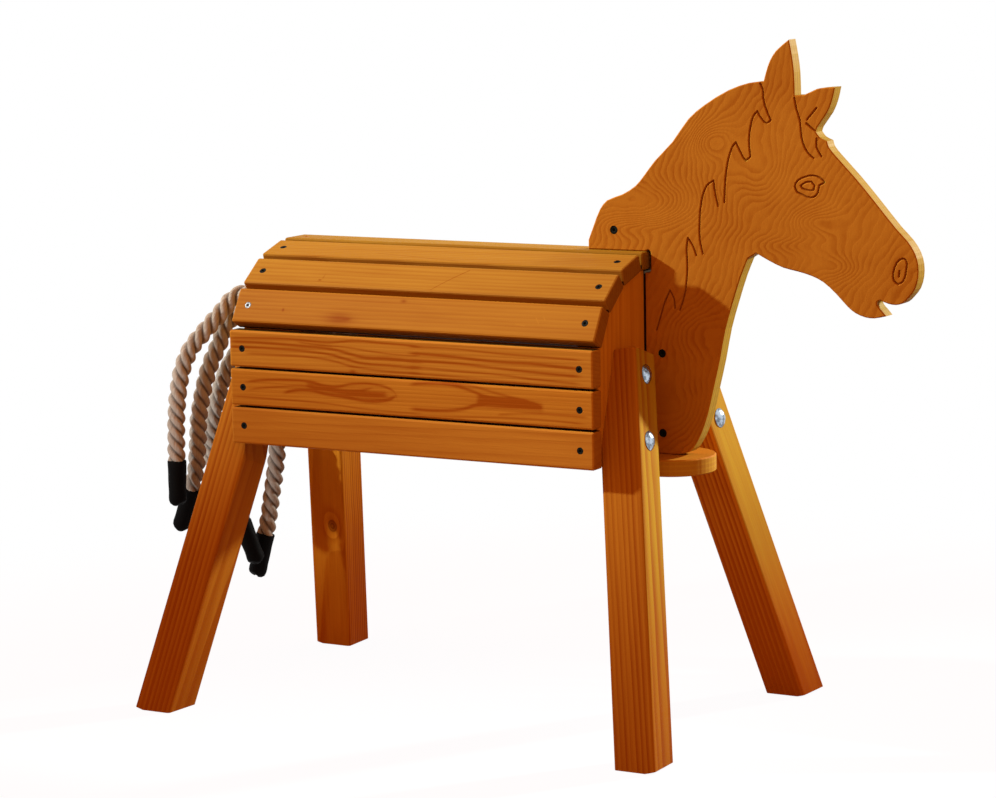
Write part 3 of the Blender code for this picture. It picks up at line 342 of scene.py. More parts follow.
# Lines drawn in the wood: points as (u, v), half-width, strength
SLAT_LINES = {
    "slat_right_b": (
        (((0.015, -0.0205), (0.035, 0.0), (0.056, 0.018)), 0.0006, 0.9),
        (((-0.160, -0.0145), (-0.06, -0.017), (0.020, -0.019)), 0.0005, 0.35)),
    "slat_right_a": (
        (((-0.100, -0.006), (-0.03, -0.013), (0.030, -0.0195)), 0.0005, 0.5),),
    "slat_right_c": (
        (((0.176, 0.004), (0.179, 0.0), (0.182, -0.004)), 0.0008, -0.5),
        (((0.186, 0.006), (0.188, 0.003), (0.190, 0.001)), 0.0008, -0.5),
        (((0.150, -0.006), (0.157, -0.007), (0.164, -0.008)), 0.0006, -0.3)),
    "slat_right_d": (
        (((-0.265, 0.0131), (-0.212, 0.0154), (-0.160, 0.0163), (-0.114, 0.0148), (-0.077, 0.0189),
          (-0.039, 0.0183), (0.021, 0.0163)), 0.0015, 0.63),
        (((-0.265, 0.0085), (-0.205, 0.0091), (-0.152, 0.0081), (-0.111, 0.0070), (-0.084, 0.0025),
          (-0.062, -0.0010), (-0.024, -0.0009), (0.021, -0.0031)), 0.0021, 0.79),
        (((-0.265, 0.0018), (-0.205, 0.0025), (-0.152, 0.0020), (-0.111, -0.0003), (-0.084, -0.0056),
          (-0.062, -0.0090), (-0.024, -0.0096), (0.021, -0.0111)), 0.0019, 0.76),
        (((-0.239, -0.0061), (-0.190, -0.0054), (-0.144, -0.0056), (-0.111, -0.0077), (-0.077, -0.0138),
          (-0.032, -0.0167), (0.021, -0.0171)), 0.0017, 0.54),
        (((-0.160, 0.0130), (-0.114, 0.0108), (-0.084, 0.0098), (-0.047, 0.0065), (-0.009, 0.0046),
          (0.021, 0.0049)), 0.0013, 0.50),
        (((0.006, 0.0155), (0.067, 0.0162), (0.131, 0.0137), (0.195, 0.0126), (0.247, 0.0115)), 0.0015, 0.54),
        (((0.006, 0.0075), (0.067, 0.0061), (0.131, 0.0030), (0.187, 0.0028), (0.247, 0.0001)), 0.0021, 0.76),
        (((0.006, -0.0019), (0.067, -0.0019), (0.131, -0.0050), (0.187, -0.0072),
          (0.247, -0.0086)), 0.0021, 0.72),
        (((0.006, -0.0092), (0.067, -0.0112), (0.131, -0.0130), (0.187, -0.0159),
          (0.247, -0.0179)), 0.0017, 0.58),
        (((0.006, -0.0179), (0.067, -0.0186), (0.131, -0.0204), (0.180, -0.0217)), 0.0013, 0.40),
    ),
    "slat_right_e": (
        (((-0.239, 0.0075), (-0.182, 0.0133), (-0.144, 0.0132), (-0.111, 0.0086), (-0.077, 0.0140),
          (-0.047, 0.0149), (-0.024, 0.0106), (-0.015, 0.0028)), 0.0019, 0.68),
        (((-0.182, -0.0028), (-0.148, 0.0020), (-0.114, -0.0016), (-0.084, -0.0041), (-0.058, -0.0065),
          (-0.032, -0.0043), (-0.015, 0.0021)), 0.0022, 0.76),
        (((-0.235, -0.0023), (-0.190, 0.0038), (-0.152, 0.0071), (-0.114, 0.0041), (-0.077, 0.0050),
          (-0.050, 0.0100)), 0.0017, 0.50),
        (((-0.148, 0.0097), (-0.111, 0.0050), (-0.077, 0.0030), (-0.047, 0.0029),
          (-0.028, 0.0033)), 0.0041, 0.50),
        (((-0.265, -0.0125), (-0.197, -0.0124), (-0.122, -0.0131), (-0.062, -0.0168),
          (0.021, -0.0178)), 0.0013, 0.50),
        (((0.006, 0.0181), (0.040, 0.0212), (0.067, 0.0205), (0.093, 0.0154), (0.116, 0.0088),
          (0.146, 0.0066), (0.172, 0.0069)), 0.0024, 0.68),
        (((0.006, -0.0126), (0.044, -0.0123), (0.078, -0.0089), (0.101, -0.0022), (0.123, 0.0025),
          (0.157, 0.0006), (0.191, 0.0006)), 0.0024, 0.76),
        (((0.052, 0.0219), (0.093, 0.0211), (0.127, 0.0148), (0.157, 0.0093), (0.187, 0.0044)), 0.0019, 0.50),
        (((0.101, 0.0045), (0.131, 0.0050), (0.165, 0.0031), (0.195, 0.0002)), 0.0053, 0.58),
        (((0.006, -0.0213), (0.063, -0.0192), (0.119, -0.0164), (0.176, -0.0150),
          (0.251, -0.0164)), 0.0013, 0.45),
        (((0.131, -0.0124), (0.168, -0.0088), (0.210, -0.0076), (0.255, -0.0081)), 0.0017, 0.45),
    ),
}
# What differs from slat to slat, seen from outside with u forward and v up
# The tints make the lower slats paler and the crest darker, evening out how light falls on them: painted
# light
SLAT_FIGURE = {
    "slat_crest": dict(pith=(0.04, -0.06), lean=(0.03, 0.01), contrast=0.3, tint=(0.80, 0.83, 0.55)),
    "slat_right_a": dict(
        pith=(0.09, -0.02), lean=(0.04, 0.0), contrast=0.28, tint=(0.95, 0.93, 0.9),
        spots=(((-0.055, 0.010), (0.010, 0.0015), 0.2), ((0.20, 0.0), (0.03, 0.006), 0.15))),
    "slat_right_b": dict(
        pith=(0.07, -0.05), lean=(0.02, 0.02), contrast=0.25, tint=(0.95, 0.90, 0.9),
        spots=(((-0.152, -0.012), (0.002, 0.0012), 0.9), ((-0.149, -0.006), (0.001, 0.004), 0.35))),
    "slat_right_c": dict(
        pith=(0.08, -0.03), lean=(0.01, 0.01), contrast=0.25, tint=(1.01, 0.87, 0.7),
        spots=(((-0.104, -0.012), (0.020, 0.008), 0.55), ((-0.092, -0.012), (0.006, 0.002), 0.35),
               ((-0.190, -0.004), (0.0014, 0.002), 0.8), ((-0.016, 0.0165), (0.004, 0.0022), 0.6))),
    "slat_right_d": dict(
        pith=(0.10, -0.02), lean=(0.02, 0.0), contrast=0.3, blotch=0.3, tint=(1.38, 1.26, 1.2),
        spots=(((-0.078, -0.021), (0.005, 0.003), 0.6),)),
    "slat_right_e": dict(
        pith=(0.10, -0.02), lean=(0.02, 0.0), contrast=0.2, blotch=0.3, tint=(1.36, 1.16, 0.95),
        spots=(((-0.075, 0.000), (0.032, 0.0040), 0.38), ((-0.045, -0.001), (0.022, 0.0065), 0.28),
               ((0.135, -0.003), (0.034, 0.0036), 0.4))),
    "slat_right_f": dict(
        pith=(-0.09, -0.02), lean=(0.03, 0.0), spacing=0.009, contrast=0.22, tint=(1.35, 1.16, 1.1)),
}


def dress_slats():
    along = Vector((1.0, 0.0, 0.0))
    for index, (name, middle, outward) in enumerate(slat_frames()):
        turn = axes(along, outward.cross(along))
        spare = dict(pith=(0.05 - 0.017 * (index % 7), -0.06), lean=(0.02, 0.02), contrast=0.6, spacing=0.006)
        reach = SHADE_UPRIGHT if name.endswith(("_d", "_e", "_f")) else SHADE_ARCHED
        look = timber(name, turn, middle, index * 1.7, SLAT_PALE, SLAT_DARK, edge=(SLAT_HALF, reach),
                      lines=SLAT_LINES.get(name, ()), **SLAT_FIGURE.get(name, spare))
        paint(name, look)


LEG_PALE = (0.4464, 0.2108, 0.02604)
LEG_DARK = (0.2728, 0.0775, 0.00372)


def leg_axes(end, side):
    """The leg's face direction along the horse, its outer side's direction, and the way up the leg."""
    rake = FRONT_RAKE if end > 0 else REAR_RAKE
    outer = Vector((0.0, side * math.cos(SPLAY), math.sin(SPLAY)))
    straight = Vector((0.0, side * math.sin(SPLAY), -math.cos(SPLAY)))
    down = math.cos(rake) * straight + math.sin(rake) * Vector((end, 0.0, 0.0))
    face = math.cos(rake) * Vector((end, 0.0, 0.0)) - math.sin(rake) * straight
    return face, outer, -down


# Seen from outside each leg, u is up it and v across its outer side; w runs out of that side
# The tints make the legs paler, most of all the far ones that lie in shade: painted light
LEG_FIGURE = {
    ("front", "right"): dict(
        pith=(-0.12, -0.04), lean=(0.01, 0.01), spacing=0.0062, contrast=0.6, tint=(1.17, 1.03, 0.6),
        foot=0.3),
    ("front", "left"): dict(
        pith=(-0.13, 0.0), lean=(0.004, 0.002), spacing=0.0068, contrast=1.0, tint=(1.75, 1.65, 1.1),
        foot=0.6),
    ("rear", "right"): dict(
        pith=(0.10, -0.04), lean=(0.02, 0.01), spacing=0.0065, contrast=0.75, tint=(1.33, 1.22, 0.8),
        foot=0.5),
    ("rear", "left"): dict(
        pith=(0.03, 0.10), lean=(0.01, 0.02), spacing=0.005, contrast=0.8, tint=(1.95, 1.8, 1.0),
        foot=0.4, knots=(((-0.052, 0.024), 0.008),)),
}


def dress_legs():
    for end_label, end in ENDS:
        for side_label, side in SIDES:
            face, outer, up = leg_axes(end, side)
            name = f"leg_{end_label}_{side_label}"
            seed = 20 + 3.3 * (2 * end + side)
            look = timber(name, axes(up, outer.cross(up)), centre(name), seed, LEG_PALE, LEG_DARK,
                          forward=face if end > 0 else None, **LEG_FIGURE[end_label, side_label])
            paint(name, look)


BULKHEAD_PALE = (0.3844, 0.1612, 0.0155)
BULKHEAD_DARK = (0.248, 0.0744, 0.00372)
SHUT_HALF = BOARD_HALF + 0.0008  # of the painted shade strip on the front bulkhead, in the gap behind the head board


def dress_timber():
    upright = axes(UP, (0.0, 1.0, 0.0))
    for end_label, end in ENDS:
        name = "bulkhead_" + end_label
        # The tint makes both bulkheads paler, as the front one lies in shade: painted light
        look = timber(name, upright, centre(name), 31.0 + end, BULKHEAD_PALE, BULKHEAD_DARK,
                      pith=(0.02, -0.20), spacing=0.006, contrast=0.35, wander=0.016, tint=(1.75, 1.95, 1.6),
                      shut=SHUT_HALF if end > 0 else None)
        paint(name, look)
    for name, turn in (("neck_batten", upright), ("crest_cleat", axes((1, 0, 0), (0, 1, 0)))):
        look = timber(name, turn, centre(name), 41.0, SLAT_PALE, SLAT_DARK, pith=(0.05, -0.05), contrast=0.6)
        paint(name, look)


# Plywood

PLY = 0.003
FACE_PALE = (0.5208, 0.2263, 0.02046)
FACE_DARK = (0.372, 0.1209, 0.00682)
EDGE_PALE = (0.434, 0.3162, 0.0341)
EDGE_DARK = (0.3224, 0.186, 0.0341)
GROOVE = (0.31, 0.0992, 0.00868)
GROOVE_FLOOR = 0.0009  # how far under the face a carved line turns dark
# Where the rotary cut meets domes in the log, as (x, z), half-widths and rings
FIGURE = (
    ((0.150, 0.655), (0.060, 0.024), -3.4), ((0.110, 0.625), (0.050, 0.012), 1.4),
    ((0.225, 0.735), (0.026, 0.020), 2.9), ((0.190, 0.760), (0.030, 0.030), -1.6),
    ((0.300, 0.700), (0.030, 0.040), -2.0), ((0.365, 0.640), (0.035, 0.016), 2.2),
    ((0.395, 0.585), (0.025, 0.014), -1.9), ((0.330, 0.610), (0.045, 0.010), 1.4),
    ((0.205, 0.500), (0.035, 0.030), 1.8), ((0.180, 0.400), (0.030, 0.050), -1.8),
)
# Behind and below these, the notch's and the rear edge's faces are painted with shade
SHUT_FRONT = 0.1425
SHUT_TOP = 0.6005


def plywood(name, thin, half, figure=(), stained=0.0):
    """Rotary-cut plywood. thin is the axis through the plies, x, y or z, and they start at -half on it.

    A figure belongs to the head board, which also has painted shade in its gaps and carved lines. stained is
    how far its edge has the colour of its faces.
    """
    n = Nodes(name)
    place = n.node("TexCoord").outputs["Object"]
    parts = dict(zip("xyz", n.split(place)))
    across = parts.pop(thin)
    u, v = parts.values()
    flat = n.join(u, v, 0.0)
    height = n.noise(flat, (8.0, 8.0, 1.0), 3.0, 1.5, 0.45, 0.3) * 3.6
    height += u * 46.0 - v * 26.0
    for at, size, rings in figure:
        height += n.hill(u, v, at, size) * rings
    height += (n.noise(flat, (55, 55, 1), 5.0, 1.0) - 0.5) * 0.55
    ring = n.math("FRACT", height * 2.0)
    late = n.step(ring, 0.2, 0.82) * n.step(ring, 0.86, 1.0, 1.0, 0.0)
    cloud = n.noise(flat, (10, 10, 1), 7.0, 3.0)
    patch = n.noise(flat, (28, 28, 1), 8.0, 2.0)
    fibre = n.noise(n.vector_math("MULTIPLY", flat, (1.0, 0.35, 1.0)), (420, 420, 1), 9.0, 2.0, 0.6)
    tone = late * n.step(patch, 0.3, 0.7, 0.1, 0.6) + (cloud - 0.5) * 0.9 + (fibre - 0.5) * 0.3 + 0.2
    face = n.mix(tone, FACE_PALE, FACE_DARK)
    # The plies on the edge, with a dark glue line between two
    layer = (across + half) * (1.0 / PLY)
    share = n.math("FRACT", layer)
    odd = n.math("MODULO", n.math("FLOOR", layer), 2.0)
    rag = n.noise(place, (120, 120, 120), 11.0, 2.0)
    edge = n.mix(odd * 0.55 + (rag - 0.5) * 0.9, EDGE_PALE, EDGE_DARK)
    glue = n.step(n.math("ABSOLUTE", share - 0.5), 0.40, 0.48)
    edge = n.mix(glue * 0.35, edge, [part * 0.5 for part in EDGE_DARK])
    if stained:
        edge = n.mix(stained, edge, FACE_PALE)
    normal = n.node("NewGeometry").outputs["True Normal"]
    facing = n.math("ABSOLUTE", dict(zip("xyz", n.split(normal)))[thin])
    # Painted shade on the notch's and the rear edge's faces
    if figure:
        behind = n.step(u, SHUT_FRONT, SHUT_FRONT + 0.0004, 0.96, 0.0)
        below = n.step(v, SHUT_TOP, SHUT_TOP + 0.0004, 1.0, 0.0)
        edge = n.mix(behind * below, edge, PAINTED_SHADE)
    colour = n.mix(n.step(facing, 0.55, 0.60), edge, face)
    if figure:
        # A carved line's sides lie under the face, at a slope that nothing else has
        floor = half - GROOVE_FLOOR
        sunk = n.step(n.math("ABSOLUTE", across), floor - 0.0003, floor + 0.0003, 1.0, 0.0)
        carved = sunk * n.step(facing, 0.50, 0.56) * n.step(facing, 0.67, 0.69, 1.0, 0.0)
        colour = n.mix(carved, colour, GROOVE)
    relief = n.bump(late * -0.4 + fibre * 0.6, WOOD_RELIEF, 0.5)
    return n.finish(Base_Color=colour, Roughness=(fibre - 0.5) * 0.2 + WOOD_ROUGHNESS,
                    Normal=relief, Specular_IOR_Level=WOOD_SHINE)


def dress_plywood():
    paint("head_board", plywood("head_board", "y", BOARD_HALF, FIGURE))
    look = plywood("neck_shelf", "z", -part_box("neck_shelf")[0][2], stained=0.5)
    paint("neck_shelf", look)


# Metal

ZINC = (0.50, 0.58, 0.68)
DARK_STEEL = (0.007, 0.009, 0.007)
WORN_STEEL = (0.22, 0.23, 0.24)
STAINED_STEEL = (0.42, 0.13, 0.02)


def metal(name, colour, rough, metallic=1.0, shine=0.5, worn=0.62):
    """Mottled metal. worn is the share of its colour that the worn patches keep."""
    n = Nodes(name)
    place = n.node("TexCoord").outputs["Object"]
    patch = n.noise(place, (160, 160, 160), 1.0, 3.0, 0.6)
    tint = n.mix(n.step(patch, 0.40, 0.60), colour, [part * worn for part in colour])
    return n.finish(Base_Color=tint, Roughness=rough + (patch - 0.5) * 0.15, Metallic=metallic,
                    Normal=n.bump(patch, 0.0002, 0.4), Specular_IOR_Level=shine)


def grid_mesh(name, rings, closed_start=None, closed_end=None):
    """A skin over rings of points, with a fan to a middle point at each end where one is given."""
    bm = bmesh.new()
    rows = [[bm.verts.new(point) for point in ring] for ring in rings]
    count = len(rows[0])
    for lower, upper in zip(rows, rows[1:]):
        for k in range(count):
            nxt = (k + 1) % count
            bm.faces.new((lower[k], lower[nxt], upper[nxt], upper[k]))
    for point, row in ((closed_start, rows[0]), (closed_end, rows[-1])):
        if point is not None:
            middle = bm.verts.new(point)
            for k in range(count):
                bm.faces.new((row[k], row[(k + 1) % count], middle))
    bmesh.ops.recalc_face_normals(bm, faces=bm.faces)
    mesh = bpy.data.meshes.new(name)
    bm.to_mesh(mesh)
    bm.free()
    mesh.shade_smooth()
    return mesh


def piece(name, mesh, look):
    """Adds a piece of the visual model to the body."""
    made = bpy.data.objects.new(name, mesh)
    bpy.context.scene.collection.objects.link(made)
    made.data.materials.append(look)
    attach(made, "root")
    return made


def screw_mesh(name, head, shank, length, taper):
    """A countersunk screw with a six-lobed recess, its head's face at local Z = 0."""
    steps = 48

    def ring(radius, height, lobe=0.0):
        points = []
        for k in range(steps):
            angle = 2 * math.pi * k / steps
            reach = radius + lobe * math.cos(6 * angle)
            points.append((reach * math.cos(angle), reach * math.sin(angle), height))
        return points

    lobe = head * 0.06
    # From the recess's floor over the head to the tip
    rings = [ring(head * 0.36, -head * 0.34, lobe), ring(head * 0.38, -0.00010, lobe)]
    rings += [ring(head * 0.42, 0.0, lobe), ring(head * 0.94, 0.0), ring(head, -0.00018)]
    rings += [ring(head, -0.0004), ring(shank, -taper), ring(shank, -length + 0.005), ring(0.0004, -length)]
    mesh = grid_mesh(name, rings, (0, 0, -head * 0.42), (0, 0, -length - 0.0003))
    mesh.set_sharp_from_angle(angle=math.radians(40))
    return mesh


def facing_matrix(origin, outward, spin):
    """Puts local Z = 0 at the origin with local Z outward, turned about it by spin."""
    turn = Vector(outward).to_track_quat("Z", "Y").to_matrix().to_4x4()
    return Matrix.Translation(origin) @ turn @ Matrix.Rotation(spin, 4, "Z")


def place_screw(name, mesh, origin, outward, spin, look):
    own = mesh.copy()
    own.transform(facing_matrix(origin, outward, spin))
    return piece(name, own, look)


SLAT_SCREW = dict(head=0.0046, shank=0.0019, length=0.047, taper=0.0029)
FRAME_SCREW = dict(head=0.0052, shank=0.0022, taper=0.0028)
SCREW_SUNK = 0.0002  # how far a slat screw's head lies under the slat's face
SCREW_TIP = 0.0004  # taken off a frame screw's length, as the mesh ends a little past it


def make_slat_screws(dark, bright, stained):
    special = {"slat_right_c_screw_rear": bright, "slat_crest_screw_rear": stained}
    mesh = screw_mesh("slat_screw", **SLAT_SCREW)
    rng = random.Random(5)
    for slat, middle, outward in slat_frames():
        for end_label, end in ENDS:
            name = f"{slat}_screw_{end_label}"
            origin = middle + outward * (SLAT_HALF_THICK - SCREW_SUNK) + Vector((end * SCREW_REACH, 0.0, 0.0))
            place_screw(name, mesh, origin, outward, rng.uniform(0, 1), special.get(name, dark))


FRAME_SCREWS = (
    ("neck_screw_upper", (0, -1, 0)), ("neck_screw_lower", (0, -1, 0)), ("neck_screw_crest", (0, -1, 0)),
    ("cleat_screw", (0, 0, 1)), ("batten_screw_upper", (-1, 0, 0)), ("batten_screw_lower", (-1, 0, 0)),
    ("shelf_screw_right", (0, 0, -1)), ("shelf_screw_left", (0, 0, -1)), ("shelf_screw_front", (0, 0, -1)),
)


def make_frame_screws(look):
    for name, outward in FRAME_SCREWS:
        low, high = (Vector(corner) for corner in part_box(name))
        outward = Vector(outward)
        middle = (low + high) / 2
        half = abs((high - low).dot(outward)) / 2
        mesh = screw_mesh(name, length=half * 2 - SCREW_TIP, **FRAME_SCREW)
        made = place_screw(name + "_driven", mesh, middle + outward * half, outward, 0.4, look)
        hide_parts(name)


# Rope tail

ROPE_RADIUS = 0.012
ROPE_LEAD = 0.004
ROPE_PITCH = 0.050  # length of one full turn of a strand
HOLES = {"right_upper": (-0.025, 0.520), "left_upper": (0.025, 0.520),
         "right_lower": (-0.025, 0.470), "left_lower": (0.025, 0.470)}
# The part's own points, from each hole's mouth in the rear bulkhead
ROUTES = {
    "right_upper": (
        (-0.0400, -0.0090, 0.0010), (-0.0711, -0.0150, -0.0010), (-0.0925, -0.0330, -0.0288),
        (-0.1079, -0.0450, -0.0499), (-0.1218, -0.0540, -0.0700), (-0.1303, -0.0620, -0.0951),
        (-0.1344, -0.0680, -0.1271), (-0.1360, -0.0710, -0.1542), (-0.1362, -0.0730, -0.1812),
        (-0.1360, -0.0740, -0.2215), (-0.1355, -0.0740, -0.2769)),
    "left_upper": (
        (-0.0320, -0.0080, -0.0010), (-0.0660, -0.0310, -0.0110), (-0.0922, -0.0550, -0.0370),
        (-0.1045, -0.0650, -0.0700), (-0.1156, -0.0720, -0.0996), (-0.1234, -0.0770, -0.1321),
        (-0.1288, -0.0800, -0.1640), (-0.1315, -0.0810, -0.2009), (-0.1360, -0.0820, -0.2424),
        (-0.1435, -0.0830, -0.2665), (-0.1600, -0.0860, -0.3240)),
    "right_lower": (
        (-0.0370, 0.0020, -0.0020), (-0.0740, 0.0060, -0.0190), (-0.1000, 0.0120, -0.0410),
        (-0.1160, 0.0140, -0.0660), (-0.1260, 0.0130, -0.0940), (-0.1345, 0.0120, -0.1240),
        (-0.1395, 0.0110, -0.1550), (-0.1350, 0.0100, -0.1880), (-0.1180, 0.0100, -0.2200),
        (-0.1000, 0.0090, -0.2450), (-0.0900, 0.0090, -0.2640), (-0.0840, 0.0070, -0.3140)),
    "left_lower": (
        (-0.0300, 0.0000, -0.0080), (-0.0490, 0.0000, -0.0290), (-0.0570, 0.0000, -0.0600),
        (-0.0580, 0.0000, -0.1100), (-0.0585, 0.0000, -0.1638), (-0.0640, 0.0000, -0.2005),
        (-0.0690, -0.0010, -0.2285), (-0.0740, -0.0030, -0.2625), (-0.0790, -0.0050, -0.2860),
        (-0.0920, -0.0090, -0.3390)),
}
STRAND_SHARE = 0.52  # a strand's radius as a share of the rope's
RING_STEP = 0.0018  # between two rings of a rope's skin
# Points to a span between two of the part's own: few as in the part, where the last stretch aims the cap
SPAN_FEW = 2
SPAN_MANY = 16
PATH_STEP = 0.004
CAP_LENGTH = 0.055
CAP_OVERLAP = 0.004
CAP_WALL = 0.0008
CAP_FLARE = {"right_upper": 0.0, "left_upper": 0.03, "right_lower": 0.0, "left_lower": 0.02}
KNOT_RADIUS = 0.022
KNOT_LENGTH = 0.040
KNOT_TURN = math.radians(330)  # how far round each strand goes in a knot


def smooth(points, per_span):
    """Points on a smooth curve through the given ones, with both ends."""
    first = points[0] * 2 - points[1]
    last = points[-1] * 2 - points[-2]
    padded = [first, *points, last]
    found = []
    for before, start, end, after in zip(padded, padded[1:], padded[2:], padded[3:]):
        t1 = math.sqrt((start - before).length)
        t2 = t1 + math.sqrt((end - start).length)
        t3 = t2 + math.sqrt((after - end).length)
        for k in range(per_span):
            t = t1 + (t2 - t1) * k / per_span
            a1 = before.lerp(start, t / t1)
            a2 = start.lerp(end, (t - t1) / (t2 - t1))
            a3 = end.lerp(after, (t - t2) / (t3 - t2))
            b1 = a1.lerp(a2, t / t2)
            b2 = a2.lerp(a3, (t - t1) / (t3 - t1))
            found.append(b1.lerp(b2, (t - t1) / (t2 - t1)))
    found.append(padded[-2])
    return found


def even_steps(points, step):
    """The same line with points at an even spacing, and its length."""
    lengths = [0.0]
    for a, b in zip(points, points[1:]):
        lengths.append(lengths[-1] + (b - a).length)
    total = lengths[-1]
    count = round(total / step)
    found = []
    index = 0
    for k in range(count + 1):
        at = total * k / count
        while index < len(points) - 2 and lengths[index + 1] < at:
            index += 1
        share = (at - lengths[index]) / (lengths[index + 1] - lengths[index])
        found.append(points[index].lerp(points[index + 1], share))
    return found, total


def carried_frames(points):
    """Two directions across the line at each of its points, turned no more than the line turns."""
    ahead = [(b - a).normalized() for a, b in zip(points, points[1:])]
    ahead = [ahead[0]] + [(a + b).normalized() for a, b in zip(ahead, ahead[1:])] + [ahead[-1]]
    side = ahead[0].orthogonal().normalized()
    found = []
    for direction in ahead:
        side = (side - direction * side.dot(direction)).normalized()
        found.append((side.copy(), direction.cross(side)))
    return found


def rope_mesh(name, path, radius, pitch, start_turn):
    """A three-strand rope along a path: three round lobes that wind about the line."""
    steps = 60
    lobe = radius * STRAND_SHARE
    offset = radius - lobe
    points, _ = even_steps(path, RING_STEP)
    frames = carried_frames(points)
    rings = []
    lay = []
    hollow = []
    spacing = (points[1] - points[0]).length
    for index, (point, (side, other)) in enumerate(zip(points, frames)):
        along = index * spacing
        wound = start_turn + 2 * math.pi * along / pitch
        ring = []
        for k in range(steps):
            angle = 2 * math.pi * k / steps
            near = (angle - wound + math.pi / 3) % (2 * math.pi / 3) - math.pi / 3
            reach = offset * math.cos(near) + math.sqrt(lobe**2 - (offset * math.sin(near)) ** 2)
            reach *= 1.0 + 0.012 * math.sin(9.0 * angle + 170.0 * along) + 0.010 * math.sin(311.0 * along)
            ring.append(point + (side * math.cos(angle) + other * math.sin(angle)) * reach)
            lay.append((radius * math.cos(angle), radius * math.sin(angle), along))
            hollow.append(1.0 - (reach / radius - 0.80) / 0.20)
        rings.append(ring)
    mesh = grid_mesh(name, rings, points[0], points[-1])
    lay += [(0.0, 0.0, 0.0), (0.0, 0.0, len(points) * spacing)]
    store = mesh.attributes.new("lay", "FLOAT_VECTOR", "POINT")
    store.data.foreach_set("vector", [number for row in lay for number in row])
    store = mesh.attributes.new("hollow", "FLOAT", "POINT")
    store.data.foreach_set("value", [*hollow, 0.0, 0.0])
    return mesh


ROPE_PALE = (0.50, 0.47, 0.39)
ROPE_DARK = (0.28, 0.26, 0.21)
ROPE_GROOVE = (0.10, 0.075, 0.055)


def rope_look():
    n = Nodes("rope")
    lay = n.node("Attribute", attribute_name="lay").outputs["Vector"]
    yarn = n.noise(lay, (900, 900, 45), 1.0, 2.0, 0.6)
    tuft = n.noise(lay, (260, 260, 120), 2.0, 3.0, 0.6)
    cloud = n.noise(lay, (60, 60, 14), 3.0, 2.0)
    tone = (yarn - 0.5) * 1.5 + (tuft - 0.5) * 0.8 + (cloud - 0.5) * 0.7 + 0.45
    colour = n.mix(tone, ROPE_PALE, ROPE_DARK)
    # Darker in the hollows between strands: partly dirt, partly painted shade
    groove = n.step(n.node("Attribute", attribute_name="hollow").outputs["Fac"], 0.7, 1.9)
    colour = n.mix(groove * 0.85, colour, ROPE_GROOVE)
    height = yarn + tuft * 0.7
    return n.finish(Base_Color=colour, Roughness=0.8, Normal=n.bump(height, 0.0009, 0.9),
                    Specular_IOR_Level=0.5, Sheen_Weight=0.25)


def cap_mesh(name, origin, direction, length, radius, flare, seed):
    """A soft sleeve shrunk over a rope's end, with creases and a crumpled tip."""
    rng = random.Random(seed)
    waves = [(rng.randint(2, 5), rng.uniform(0, 6.3), rng.uniform(60, 200)) for _ in range(5)]
    side = direction.orthogonal().normalized()
    other = direction.cross(side)
    steps = 40
    rings = []
    # Shares of the length and of the radius
    profile = [(0.0, 0.97), (0.02, 1.0), (0.10, 1.0), (0.2, 0.985), (0.3, 0.98), (0.4, 0.985), (0.5, 0.98)]
    profile += [(0.6, 0.97), (0.68, 0.96), (0.76, 0.97 + flare * 0.5), (0.83, 0.99 + flare)]
    profile += [(0.90, 0.97 + flare * 0.9), (0.95, 0.88 + flare * 0.5), (0.985, 0.66), (1.0, 0.35)]
    for share, width in profile:
        ring = []
        for k in range(steps):
            angle = 2 * math.pi * k / steps
            at = share * length
            crease = sum(math.sin(count * angle + phase + rate * at) for count, phase, rate in waves) / 5
            depth = 0.02 + 0.05 * share
            reach = radius * width * (1.0 - depth + depth * crease)
            sag = 0.03 * length * share * math.sin(2 * angle + seed) if share > 0.9 else 0.0
            ring.append(origin + direction * (at + sag)
                        + (side * math.cos(angle) + other * math.sin(angle)) * reach)
        rings.append(ring)
    return grid_mesh(name, rings, origin, origin + direction * length * 0.99)


def wall_knot_mesh(name, inner, radius, length):
    """The rope's three strands tied round each other in a knob; inner is where it meets the bulkhead."""
    strand = radius * 0.36
    steps = 40
    sides = 16
    turns = [2 * math.pi * side_index / sides for side_index in range(sides)]
    bm = bmesh.new()
    for strand_index in range(3):
        begin = 2 * math.pi * strand_index / 3
        line = []
        for k in range(steps + 1):
            t = k / steps
            angle = begin + KNOT_TURN * t
            swell = math.sin(math.pi * min(1.0, t * 1.08)) ** 0.6
            reach = strand * 0.9 + (radius - strand * 2.0) * swell
            rise = strand + (length - 2 * strand) * (t - 0.10 * math.sin(4 * math.pi * t))
            line.append(Vector((rise, reach * math.cos(angle), reach * math.sin(angle))))
        rows = []
        for point, (side, other) in zip(line, carried_frames(line)):
            rows.append([bm.verts.new(inner + point + (side * math.cos(a) + other * math.sin(a)) * strand)
                         for a in turns])
        for lower, upper in zip(rows, rows[1:]):
            for j in range(sides):
                nxt = (j + 1) % sides
                bm.faces.new((lower[j], lower[nxt], upper[nxt], upper[j]))
        bm.faces.new(rows[0])
        bm.faces.new(rows[-1])
    bmesh.ops.recalc_face_normals(bm, faces=bm.faces)
    layer = bm.verts.layers.float_vector.new("lay")
    for vert in bm.verts:
        vert[layer] = vert.co
    mesh = bpy.data.meshes.new(name)
    bm.to_mesh(mesh)
    bm.free()
    mesh.shade_smooth()
    return mesh


CAP_BLACK = (0.001, 0.001, 0.001)
CAP_DUSTY = (0.006, 0.0055, 0.005)


def black_look():
    n = Nodes("black_cap")
    place = n.node("TexCoord").outputs["Object"]
    dust = n.noise(place, (240, 240, 240), 1.0, 3.0, 0.6)
    colour = n.mix(dust, CAP_BLACK, CAP_DUSTY)
    return n.finish(Base_Color=colour, Roughness=0.62 + (dust - 0.5) * 0.3, Normal=n.bump(dust, 0.0005, 0.6),
                    Specular_IOR_Level=0.03)


